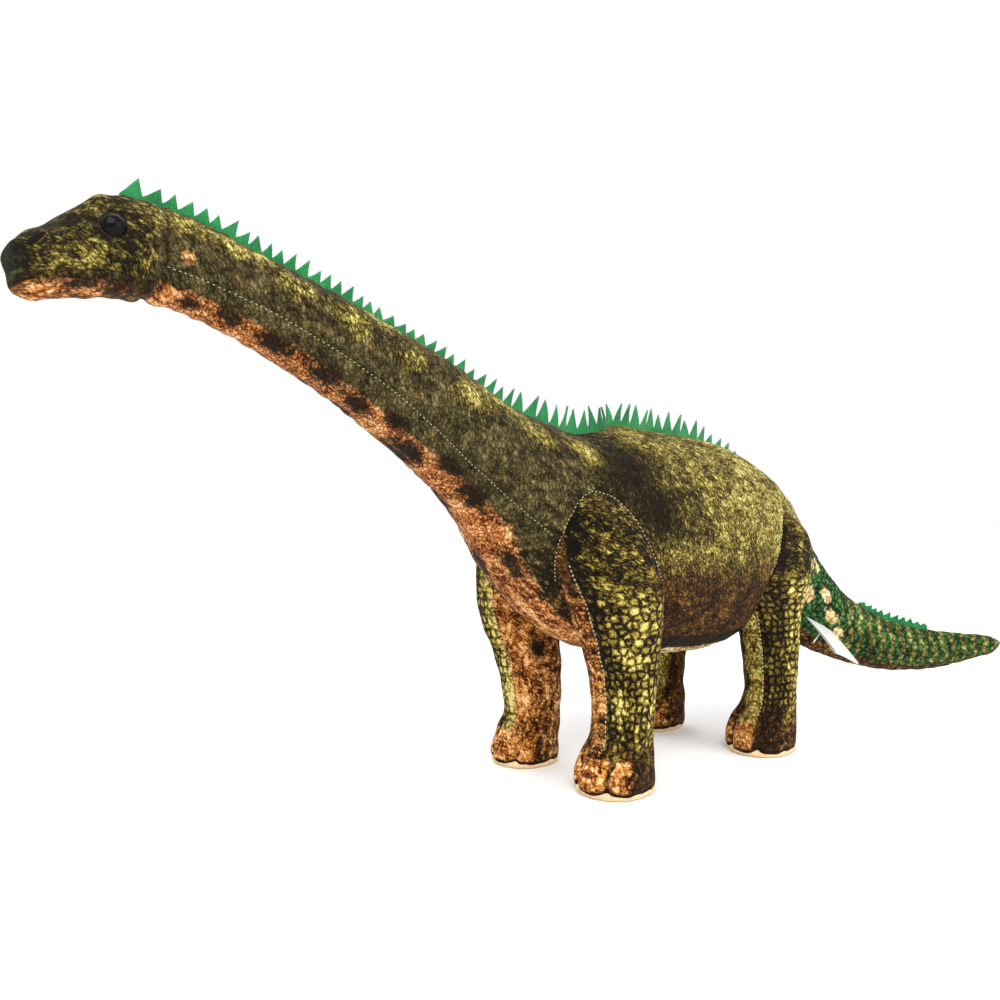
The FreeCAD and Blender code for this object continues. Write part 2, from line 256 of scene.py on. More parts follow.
@dataclass(frozen=True)
class PlushPrint:
    """Short-pile polyester plush, 1.5 mm pile, sublimation printed: matt, with a soft sheen at
    grazing angles."""

    name: str
    tones: tuple[str, ...]
    inks: tuple[Ink, ...]
    small_scale: float = 2.3   # mm across
    large_scale: float = 4.7   # mm across
    pile_clump: float = 1.0    # mm, coarser than real fibres so that it shows

    def make(self) -> bpy.types.Material:
        """Builds the print: one mottle of scales sets how light each spot is, and each ink turns
        that into its own tones.

        Returns:
            The material.
        """
        material, tree, output = new_material(self.name)
        skin = add_node(tree, "ShaderNodeUVMap", uv_map=UV_NAME).outputs["UV"]
        wander = add_node(tree, "ShaderNodeTexNoise",
                          {"Vector": skin, "Scale": 1 / (5 * MM), "Detail": 3.0})
        centred = add_node(tree, "ShaderNodeVectorMath",
                           {0: wander.outputs["Color"], 1: (0.5, 0.5, 0.5)}, operation="SUBTRACT")
        moved = add_node(tree, "ShaderNodeVectorMath", {0: centred.outputs[0], "Scale": 3.4 * MM},
                         operation="SCALE")
        bent = add_node(tree, "ShaderNodeVectorMath", {0: skin, 1: moved.outputs[0]},
                        operation="ADD").outputs[0]
        large = add_node(tree, "ShaderNodeAttribute", attribute_name="cell").outputs["Fac"]
        slanted = add_node(tree, "ShaderNodeMapping",
                           {"Vector": bent, "Rotation": (0, 0, -0.95), "Scale": (1.75, 0.8, 1.0)},
                           vector_type="TEXTURE").outputs[0]
        edges, spots = [], []
        for size, loose, where in ((self.small_scale, 1.0, slanted),
                                   (self.large_scale, 0.68, bent)):
            spot = {"Vector": where, "Scale": 1 / (size * MM), "Randomness": loose}
            edges.append(add_node(tree, "ShaderNodeTexVoronoi", spot, voronoi_dimensions="2D",
                                  feature="DISTANCE_TO_EDGE"))
            spots.append(add_node(tree, "ShaderNodeTexVoronoi", spot, voronoi_dimensions="2D",
                                  feature="F1"))
        edge = add_node(tree, "ShaderNodeMix",
                        {0: large, 2: edges[0].outputs["Distance"],
                         3: edges[1].outputs["Distance"]})
        fray = add_node(tree, "ShaderNodeTexNoise",
                        {"Vector": skin, "Scale": 1 / (1.6 * MM), "Detail": 3.0}).outputs["Fac"]
        broken = add_node(tree, "ShaderNodeMath", {0: fray, 1: -0.42, 2: 0.21},
                          operation="MULTIPLY_ADD")
        broken = add_node(tree, "ShaderNodeMath", {0: broken.outputs[0], 1: edge.outputs[0]},
                          operation="ADD")
        whole = add_node(tree, "ShaderNodeMapRange",
                         {"Value": broken.outputs[0], "From Min": -0.02, "From Max": 0.36},
                         interpolation_type="SMOOTHSTEP").outputs[0]
        chance = add_node(tree, "ShaderNodeMix",
                          {0: large, 6: spots[0].outputs["Color"], 7: spots[1].outputs["Color"]},
                          data_type="RGBA")
        parts = add_node(tree, "ShaderNodeSeparateColor", {0: chance.outputs[2]})
        relief = add_node(tree, "ShaderNodeMapRange",
                          {"Value": large, "To Min": 0.34, "To Max": 0.6}).outputs[0]
        tone = add_node(tree, "ShaderNodeMath", {0: whole, 1: relief, 2: -2.3},
                        operation="MULTIPLY_ADD").outputs[0]
        tone = add_node(tree, "ShaderNodeMath", {0: parts.outputs["Red"], 1: 0.35, 2: tone},
                        operation="MULTIPLY_ADD").outputs[0]
        clouds = []
        for size, depth, strength in ((self.pile_clump, 2.0, 1.25), (4.2, 4.0, 1.35),
                                      (17.0, 3.0, 1.1)):
            cloud = add_node(tree, "ShaderNodeTexNoise",
                             {"Vector": skin, "Scale": 1 / (size * MM), "Detail": depth,
                              "Roughness": 0.6})
            clouds.append(cloud.outputs["Fac"])
            tone = add_node(tree, "ShaderNodeMath", {0: cloud.outputs["Fac"], 1: strength, 2: tone},
                            operation="MULTIPLY_ADD").outputs[0]
        gold = add_node(tree, "ShaderNodeAttribute", attribute_name="gold").outputs["Fac"]
        value = add_node(tree, "ShaderNodeMath", {0: gold, 1: 0.85, 2: tone},
                         operation="MULTIPLY_ADD").outputs[0]
        colour = None
        for ink in (Ink("gold", self.tones), *self.inks):
            if colour is not None:
                value = add_node(tree, "ShaderNodeMath", {0: tone, 1: ink.contrast, 2: ink.level},
                                 operation="MULTIPLY_ADD").outputs[0]
            ramp = add_node(tree, "ShaderNodeValToRGB", {0: value})
            for number, shade in enumerate(ink.tones):
                at = number / (len(ink.tones) - 1)
                stop = (ramp.color_ramp.elements[number] if number < 2
                        else ramp.color_ramp.elements.new(at))
                stop.position, stop.color = at, linear(shade)
            if colour is None:
                colour = ramp.outputs[0]
                continue
            weight = add_node(tree, "ShaderNodeAttribute", attribute_name=ink.weight).outputs["Fac"]
            centre = add_node(tree, "ShaderNodeMath", {0: clouds[1], 1: 0.5},
                              operation="SUBTRACT").outputs[0]
            rough = add_node(tree, "ShaderNodeMath", {0: centre, 1: ink.ragged, 2: weight},
                             operation="MULTIPLY_ADD").outputs[0]
            cover = add_node(tree, "ShaderNodeMapRange", {
                "Value": rough, "From Min": 0.5 - ink.ground.value,
                "From Max": 0.5 + ink.ground.value}, interpolation_type="SMOOTHSTEP")
            colour = add_node(tree, "ShaderNodeMix",
                              {0: cover.outputs[0], 6: colour, 7: ramp.outputs[0]},
                              data_type="RGBA").outputs[2]
        height = add_node(tree, "ShaderNodeMath", {0: whole, 1: 0.5, 2: clouds[0]},
                          operation="MULTIPLY_ADD")
        bump = add_node(tree, "ShaderNodeBump",
                        {"Strength": 0.6, "Distance": 0.6 * MM, "Height": height.outputs[0]})
        cloth = add_node(tree, "ShaderNodeBsdfPrincipled", {
            "Base Color": colour, "Roughness": 0.88, "Sheen Weight": 0.02, "Sheen Roughness": 0.5,
            "Specular IOR Level": 0.06, "Normal": bump.outputs[0]})
        tree.links.new(cloth.outputs[0], output.inputs[0])
        return material


@dataclass(frozen=True)
class Felt:
    """Pressed polyester felt, 1.2 mm thick: matt with short stray fibres."""

    name: str
    deep: str
    light: str
    fibre: float = 0.9  # mm, drawn coarser than the real 0.02 mm

    def make(self) -> bpy.types.Material:
        """Builds the felt.

        Returns:
            The material.
        """
        material, tree, output = new_material(self.name)
        spot = add_node(tree, "ShaderNodeTexCoord").outputs["Object"]
        fibres = add_node(tree, "ShaderNodeTexNoise",
                          {"Vector": spot, "Scale": 1 / (self.fibre * MM), "Detail": 4.0,
                           "Roughness": 0.7})
        cloud = add_node(tree, "ShaderNodeTexNoise",
                         {"Vector": spot, "Scale": 1 / (14 * MM), "Detail": 2.0})
        both = add_node(tree, "ShaderNodeMath", {0: fibres.outputs["Fac"], 1: cloud.outputs["Fac"]},
                        operation="ADD")
        share = add_node(tree, "ShaderNodeMapRange",
                         {"Value": both.outputs[0], "From Min": 0.75, "From Max": 1.25})
        colour = add_node(tree, "ShaderNodeMix",
                          {0: share.outputs[0], 6: linear(self.deep), 7: linear(self.light)},
                          data_type="RGBA")
        bump = add_node(tree, "ShaderNodeBump",
                        {"Strength": 0.6, "Distance": 0.4 * MM, "Height": fibres.outputs["Fac"]})
        cloth = add_node(tree, "ShaderNodeBsdfPrincipled", {
            "Base Color": colour.outputs[2], "Roughness": 0.95, "Sheen Weight": 0.3,
            "Sheen Roughness": 0.5,
            "Specular IOR Level": 0.15, "Normal": bump.outputs[0]})
        tree.links.new(cloth.outputs[0], output.inputs[0])
        return material


@dataclass(frozen=True)
class Plain:
    """A plain finish with a fine two-tone mottle: thread, satin, plastic or backing cloth."""

    name: str
    deep: str
    light: str
    roughness: float
    grain: float            # mm
    relief: float           # mm
    coat: float = 0.0
    sheen: float = 0.0
    stretch: tuple[float, float, float] = (1.0, 1.0, 1.0)
    gloss: float = 0.4

    def make(self) -> bpy.types.Material:
        """Builds the finish.

        Returns:
            The material.
        """
        material, tree, output = new_material(self.name)
        spot = add_node(tree, "ShaderNodeTexCoord").outputs["Object"]
        turned = add_node(tree, "ShaderNodeMapping", {"Vector": spot, "Scale": self.stretch})
        grain = add_node(tree, "ShaderNodeTexNoise",
                         {"Vector": turned.outputs[0], "Scale": 1 / (self.grain * MM),
                          "Detail": 3.0})
        share = add_node(tree, "ShaderNodeMapRange",
                         {"Value": grain.outputs["Fac"], "From Min": 0.3, "From Max": 0.7})
        colour = add_node(tree, "ShaderNodeMix",
                          {0: share.outputs[0], 6: linear(self.deep), 7: linear(self.light)},
                          data_type="RGBA")
        bump = add_node(tree, "ShaderNodeBump",
                        {"Strength": 0.5, "Distance": self.relief * MM,
                         "Height": grain.outputs["Fac"]})
        shell = add_node(tree, "ShaderNodeBsdfPrincipled", {
            "Base Color": colour.outputs[2], "Roughness": self.roughness,
            "Specular IOR Level": self.gloss, "Coat Weight": self.coat, "Coat Roughness": 0.03,
            "Sheen Weight": self.sheen, "Normal": bump.outputs[0]})
        tree.links.new(shell.outputs[0], output.inputs[0])
        return material


TRUNK_PRINT = PlushPrint("printed_plush_trunk",
                         ("#17130a", "#352d15", "#5d5223", "#988940", "#d3c67f"), (
    Ink("dusk", ("#16120a", "#2d2715", "#4b4227", "#73673f", "#a3976a"), 0.47, 0.72),
    Ink("rust", ("#150c06", "#341f0e", "#5f401d", "#9f7238"), 0.45, 1.0, Ground.SOFT, 3.4),
    Ink("orange", ("#2a1208", "#6f3c19", "#b06c35", "#d29a62", "#f0cd9b"), 0.55, 1.1),
    Ink("blotch", ("#110b07", "#261a0e", "#47341b"), 0.42, 0.8, Ground.SOFT, 2.4),
    Ink("green", ("#081009", "#152b16", "#2a5128", "#4f7b3c"), 0.47, 1.0),
    Ink("cream", ("#4a3a1c", "#a8874f", "#d6bd88", "#eadbb4"), 0.56, 0.9, Ground.RAGGED),
))
LEG_PRINT = PlushPrint("printed_plush_legs",
                       ("#0f0c06", "#2a200d", "#5c4e1d", "#9b8a3a", "#d2c476"), (
    Ink("rust", ("#130b06", "#37210d", "#67431c", "#a27637"), 0.44, 1.05),
    Ink("orange", ("#241008", "#6b3914", "#ab6a2e", "#d49a57", "#efcd96"), 0.55, 1.1),
    Ink("blotch", ("#100a06", "#22160b", "#3e2a14"), 0.4, 0.8),
    Ink("cream", ("#8e7048", "#cfae7c", "#efdcb2"), 0.6, 0.7, Ground.RAGGED, 0.6),
))
SPINE_FELT = Felt("pressed_green_felt", "#115a2d", "#268648")
THREAD = Plain("spun_polyester_thread", "#9c9570", "#d0caa8", 0.8, 0.5, 0.1, sheen=0.2)
SOLE_CLOTH = Plain("brushed_sole_cloth", "#cfa878", "#efd9ae", 0.95, 1.6, 0.4, sheen=0.2)
EYE_GLOSS = Plain("moulded_glossy_eye", "#030303", "#060505", 0.09, 3.0, 0.0, gloss=0.11)
EYE_RIM = Plain("brown_eye_rim", "#1c0d08", "#301810", 0.4, 1.0, 0.05, gloss=0.12)
WASHER = Plain("moulded_washer_plastic", "#c9c9c2", "#dadad4", 0.5, 1.5, 0.02)
NOSTRIL = Plain("embroidered_black_patch", "#060605", "#151311", 0.85, 0.6, 0.15, stretch=(1, 1, 4),
                gloss=0.1)
LABEL_SATIN = Plain("white_label_satin", "#c9c9c6", "#dededb", 0.42, 0.5, 0.08, sheen=0.1,
                    stretch=(1, 1, 8))
FILAMENT = Plain("clear_nylon_filament", "#e2e6e4", "#f6f8f7", 0.25, 1.0, 0.0)


class Finishes:
    """Every finish, made once."""

    def __init__(self) -> None:
        """Builds the materials."""
        self.trunk = TRUNK_PRINT.make()
        self.leg = LEG_PRINT.make()
        self.felt = SPINE_FELT.make()
        self.thread = THREAD.make()
        self.sole = SOLE_CLOTH.make()
        self.eye = EYE_GLOSS.make()
        self.rim = EYE_RIM.make()
        self.washer = WASHER.make()
        self.nostril = NOSTRIL.make()
        self.label = LABEL_SATIN.make()
        self.filament = FILAMENT.make()


# ---------------------------------------------------------------- forms that cloth is wrapped on

class Curves:
    """Smooth curves through rows of numbers, by the length along them."""

    def __init__(self, rows: Sequence[Sequence[float]], path: slice) -> None:
        """Measures the rows.

        Args:
            rows: one row of sizes per section.
            path: the columns whose distances give the length along.
        """
        self.table = np.array(rows, float)
        gaps = np.linalg.norm(np.diff(self.table[:, path], axis=0), axis=1)
        self.knots = np.concatenate([[0.0], np.cumsum(gaps)])
        self.slopes = np.gradient(self.table, self.knots, axis=0)
        self.length = float(self.knots[-1])

    def at(self, along: np.ndarray) -> np.ndarray:
        """Reads every column at each length along.

        Args:
            along: lengths in millimetres.

        Returns:
            One row for each length.
        """
        along = np.clip(np.atleast_1d(np.asarray(along, float)), 0, self.length)
        low = np.clip(np.searchsorted(self.knots, along, "right") - 1, 0, len(self.knots) - 2)
        gap = (self.knots[low + 1] - self.knots[low])[:, None]
        share = (along - self.knots[low])[:, None] / gap
        square, cube = share ** 2, share ** 3
        return (self.table[low] * (2 * cube - 3 * square + 1)
                + self.table[low + 1] * (3 * square - 2 * cube)
                + gap * (self.slopes[low] * (cube - 2 * square + share)
                         + self.slopes[low + 1] * (cube - square)))


class TrunkForm:
    """Snout to tail tip as one tube of ovals: centre x, y, z, half width, rise above and drop
    below, in mm."""

    SECTIONS = (
        (-291.6, 0, 242, 0.1, 0.1, 0.1), (-290.2, 0, 242, 8.5, 7.5, 6),
        (-285.5, 0, 243, 15, 12, 9.5),
        (-278, 0, 246, 19.5, 14.5, 11.5), (-264, 0, 252.5, 21.5, 17.5, 15.5),
        (-250, 0, 258, 22, 20, 19),
        (-228, 0, 256.5, 19.5, 20, 18.5), (-200, 0, 248.5, 19.5, 19.5, 18.5),
        (-170, 0, 236, 22, 22.5, 19),
        (-115, 0, 209, 28, 29, 22.5), (-60, 0, 176, 36, 36, 30), (-42, 0, 165.5, 41.5, 42, 38),
        (-24, 0, 154, 48, 50.5, 47), (18, 0, 137, 60, 68.5, 63), (66, 0, 134, 64, 69, 70),
        (116, 0, 136, 62, 63, 72.5),
        (154, 0, 132, 53, 52, 62), (190, -2, 118, 40, 36, 46), (218, -7, 98, 30.5, 29.5, 34),
        (250, -20, 73, 23.5, 23, 26),
        (285, -40, 56, 19, 17.5, 21), (320, -64, 50, 15, 13, 16), (346, -84, 51, 9.5, 8.5, 9.5),
        (360, -95, 52.5, 5.6, 4.6, 5), (364.5, -98.5, 53, 0.1, 0.1, 0.1))
    EASE = 0.3  # how much closer the rings are at the two ends

    def __init__(self) -> None:
        """Measures the sections."""
        self.curves = Curves(self.SECTIONS, slice(0, 3))
        self.length = self.curves.length

    def along(self, u: np.ndarray) -> np.ndarray:
        """Turns 0 to 1 along the cloth into the length along the spine."""
        return self.length * (u - self.EASE * np.sin(2 * np.pi * u) / (2 * np.pi))

    def along_at(self, x: float | np.ndarray) -> float | np.ndarray:
        """Finds the length along the spine at each x of the toy.

        Args:
            x: one x or many, in the toy's mm.

        Returns:
            The length along the spine, as many as were asked for.
        """
        tries = np.linspace(0, self.length, 3000)
        found = np.interp(x, self.curves.at(tries)[:, 0], tries)
        return found if isinstance(x, np.ndarray) else float(found)

    def frame_at(self, along: np.ndarray) -> tuple[np.ndarray, np.ndarray, np.ndarray, np.ndarray]:
        """Gives the spine's sizes and directions.

        Args:
            along: lengths along the spine.

        Returns:
            The sizes, the forward, sideways and upward directions, one row each.
        """
        row = self.curves.at(along)
        forward = unit(self.curves.at(along + 1.5)[:, :3] - self.curves.at(along - 1.5)[:, :3])
        sideways = unit(np.cross([0.0, 0.0, 1.0], forward))
        return row, forward, sideways, np.cross(forward, sideways)

    def points(self, along: np.ndarray, turn: np.ndarray) -> np.ndarray:
        """Puts points on the cloth.

        Args:
            along: lengths along the spine, mm.
            turn: degrees round it, 0 right, 90 top, 180 left, 270 below.

        Returns:
            Points in the toy's millimetres.
        """
        row, _, sideways, upward = self.frame_at(along)
        angle = np.radians(turn)
        lift = np.where(np.sin(angle) > 0, row[:, 4], row[:, 5])
        return row[:,
                   :3] + sideways * (np.cos(angle)
                                     * row[:, 3])[:,
                                                  None] + upward * (np.sin(angle) * lift)[:, None]

    def surface(self, u: np.ndarray, v: np.ndarray) -> np.ndarray:
        """Puts the grid's corners on the tube."""
        return self.points(self.along(u), 360 * v)


@dataclass(frozen=True)
class StackForm:
    """A leg or a sole as a stack of flat ovals: z, centre x, half length, centre y outwards,
    half width, in mm."""

    slices: tuple[tuple[float, ...], ...]
    side: int            # -1 left, +1 right
    squareness: float = 2.25

    def surface(self, u: np.ndarray, v: np.ndarray) -> np.ndarray:
        """Puts the grid's corners on the stack, first slice to last.

        Args:
            u: 0 to 1 from the first slice to the last.
            v: 0 to 1 round a slice.

        Returns:
            The corners, in the toy's mm.
        """
        curves = Curves(self.slices, slice(0, 5))
        row = curves.at(u * curves.length)
        angle, power = 2 * np.pi * v, 2 / self.squareness
        cosine, sine = np.cos(angle), np.sin(angle)
        x = row[:, 1] + row[:, 2] * np.sign(cosine) * np.abs(cosine) ** power
        y = self.side * row[:, 3] + row[:, 4] * np.sign(sine) * np.abs(sine) ** power
        return np.stack([x, y, row[:, 0]], axis=1)


def wrap(name: str, surface: Callable[[np.ndarray, np.ndarray], np.ndarray], columns: int,
         rows: int,
         finish: bpy.types.Material) -> bpy.types.Object:
    """Wraps a grid of cloth round a form, closed along its seam and at both ends.

    Args:
        name: the piece's name.
        surface: gives points for the grid's corners.
        columns: cells along the form.
        rows: cells round it.
        finish: the cloth.

    Returns:
        The object, its UV map running 0 to 1 along and round.
    """
    bm = bmesh.new()
    bm.loops.layers.uv.new(UV_NAME)
    bmesh.ops.create_grid(bm, x_segments=columns, y_segments=rows, size=0.5, calc_uvs=True)
    layer = bm.loops.layers.uv[UV_NAME]
    for face in bm.faces:
        for corner in face.loops:
            corner[layer].uv = (corner.vert.co.x + 0.5, corner.vert.co.y + 0.5)
    grid = np.array([v.co[:2] for v in bm.verts]) + 0.5
    placed = place(surface(np.round(grid[:, 0], 6), np.round(grid[:, 1], 6)))
    for vert, point in zip(bm.verts, placed):
        vert.co = point
    bmesh.ops.remove_doubles(bm, verts=bm.verts, dist=0.02 * MM)
    bmesh.ops.holes_fill(bm, edges=[e for e in bm.edges if e.is_boundary], sides=0)
    bmesh.ops.recalc_face_normals(bm, faces=bm.faces)
    return new_object(name, bm, finish)


def refine(piece: bpy.types.Object) -> None:
    """Doubles the cells of a piece with one smooth subdivision, made real.

    Args:
        piece: the cloth, changed in place.
    """
    piece.modifiers.new("finer", "SUBSURF").levels = 1
    piece.modifiers["finer"].render_levels = 1
    graph = bpy.context.evaluated_depsgraph_get()
    finer = bpy.data.meshes.new_from_object(piece.evaluated_get(graph),
                                            preserve_all_data_layers=True, depsgraph=graph)
    piece.modifiers.clear()
    piece.data = finer


def stuff(piece: bpy.types.Object, pinned: np.ndarray, cap: float) -> None:
    """Fills a piece: its cloth swells between its seams, and no point moves further than the cap.

    Args:
        piece: the cloth, changed in place.
        pinned: 0 to 1 for each vertex, 1 on a seam.
        cap: the furthest a point may move, mm.
    """
    start = vertices(piece.data)
    group = piece.vertex_groups.new(name="seams")
    for level in np.unique(np.round(pinned, 1)):
        if level > 0:
            group.add([int(i) for i in np.nonzero(np.round(pinned, 1) == level)[0]], float(level),
                      "REPLACE")
    cloth = piece.modifiers.new("filling", "CLOTH")
    cloth.settings.effector_weights.gravity = 0.0
    cloth.settings.use_pressure = True
    cloth.settings.uniform_pressure_force = 4.0
    cloth.settings.vertex_group_mass = "seams"
    cloth.settings.quality = 4
    cloth.settings.mass = 0.3
    cloth.settings.tension_stiffness = 12
    cloth.settings.compression_stiffness = 12
    cloth.settings.shear_stiffness = 6
    cloth.settings.bending_stiffness = 0.4
    cloth.collision_settings.use_collision = False
    cloth.point_cache.frame_start, cloth.point_cache.frame_end = 1, 20
    for number in range(1, 21):
        bpy.context.scene.frame_set(number)
    graph = bpy.context.evaluated_depsgraph_get()
    swollen = bpy.data.meshes.new_from_object(piece.evaluated_get(graph), depsgraph=graph)
    move = vertices(swollen) - start
    bpy.data.meshes.remove(swollen)
    piece.modifiers.clear()
    piece.vertex_groups.clear()
    bpy.context.scene.frame_set(1)
    reach = np.linalg.norm(move, axis=1, keepdims=True)
    move *= np.minimum(1, cap * MM / np.maximum(reach, 1e-9)) * (1 - pinned[:, None])
    set_vertices(piece.data, start + move)


@dataclass(frozen=True)
class Dent:
    """A soft swelling, or a hollow where height is negative: its middle, reach and height in mm."""

    x: float
    y: float
    z: float
    reach: float
    height: float

    def push(self, points: np.ndarray) -> np.ndarray:
        """Gives how far each point (in the toy's millimetres) moves outwards."""
        away = np.sum((points - np.array([self.x, self.y, self.z])) ** 2, axis=1)
        return self.height * np.exp(-away / self.reach ** 2)


def groove(points: np.ndarray, line: Sequence[Sequence[float]], reach: float,
           depth: float) -> np.ndarray:
    """Gives the hollow along a line of stitches.

    Args:
        points: in the toy's millimetres.
        line: the corners of the line.
        reach: half width, mm.
        depth: how deep, mm.

    Returns:
        How far each point moves outwards, so below zero.
    """
    near = np.full(len(points), 1e9)
    corners = np.array(line, float)
    for a, b in zip(corners[:-1], corners[1:]):
        share = np.clip(((points - a) @ (b - a)) / np.dot(b - a, b - a), 0, 1)
        near = np.minimum(near, np.linalg.norm(points - a - share[:, None] * (b - a), axis=1))
    return -depth * np.exp(-(near / reach) ** 2)


# ---------------------------------------------------------------- how the trunk is divided
# between the bodies

@dataclass(frozen=True)
class Stretch:
    """A length of the trunk that rides on a body, or has its placement baked in where two are
    given:
    x at its two ends, bodies, and bend points."""

    name: str
    first: float
    last: float
    bodies: tuple[str, ...]
    start: tuple[float, float, float] = (0, 0, 0)
    end: tuple[float, float, float] = (0, 0, 0)

    def attach(self, piece: bpy.types.Object) -> bpy.types.Object:
        """Fastens a piece to this stretch's body, or only bakes its placement where there are two.
        """
        if len(self.bodies) == 1:
            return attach(piece, self.bodies[0])
        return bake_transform(piece, *self.bodies, start=tuple(place(self.start)),
                        end=tuple(place(self.end)))


STRETCHES = (
    Stretch("head", -400, -240, ("head",)),
    Stretch("nape", -240, -150, ("neck", "head"), (-205, 0, 250.5), (-238, 0, 257)),
    Stretch("neck", -150, -8, ("torso", "neck"), (-25, 0, 155), (-95, 0, 198)),
    Stretch("torso", -8, 186, ("torso",)),
    Stretch("tail", 186, 400, ("torso", "tail"), (190, -2, 118), (245, -18, 76)),
)
STANDS_FOR = {
    "head": ("head_stuffing", "head_panel_left", "head_panel_right", "chin_panel"),
    "nape": ("neck_stuffing", "neck_panel_left", "neck_panel_right", "neck_underside_panel"),
    "neck": (),
    "torso": ("torso_stuffing", "torso_panel_left", "torso_panel_right", "belly_panel"),
    "tail": ("tail_stuffing", "tail_panel_left", "tail_panel_right", "tail_underside_panel"),
}


def stitch_run(name: str, points: np.ndarray, outward: np.ndarray, finish: bpy.types.Material,
               pitch: float = 2.4, size: tuple[float, float] = (1.35, 0.5)) -> bpy.types.Object:
    """Lays a row of short stitches along a line.

    Args:
        name: the piece's name.
        points: closely spaced points along the line, mm.
        outward: the cloth's outward direction at each.
        finish: the thread.
        pitch: from one stitch to the next, mm.
        size: a stitch's length and thickness, mm.

    Returns:
        All the stitches as one object.
    """
    dice = random.Random(len(name) * 31 + int(abs(points[0, 0])))
    run = np.concatenate([[0], np.cumsum(np.linalg.norm(np.diff(points, axis=0), axis=1))])
    bm = bmesh.new()
    for here in np.arange(pitch / 2, run[-1], pitch):
        spot = np.array([np.interp(here, run, points[:, k]) for k in range(3)])
        ahead = np.array([np.interp(here + 0.5, run, points[:, k])
                          - np.interp(here - 0.5, run, points[:, k]) for k in range(3)])
        out = unit(np.array([np.interp(here, run, outward[:, k]) for k in range(3)]))
        ahead = unit(ahead)
        across = unit(np.cross(out, ahead))
        turn = Matrix(np.stack([ahead, across, np.cross(ahead, across)],
                               axis=1)).to_4x4() @ Matrix.Rotation(dice.uniform(-0.25, 0.25),
                                                            4, "Z")
        scale = Matrix.Diagonal((size[0] / 2 * dice.uniform(0.85, 1.1) * MM, size[1] / 2 * MM,
                                 size[1] / 2 * MM, 1))
        spot = place(spot + out * 0.12)
        bmesh.ops.create_icosphere(bm, subdivisions=1, radius=1.0,
                                   matrix=Matrix.Translation(Vector(spot)) @ turn @ scale)
    return new_object(name, bm, finish)


# ---------------------------------------------------------------- the trunk

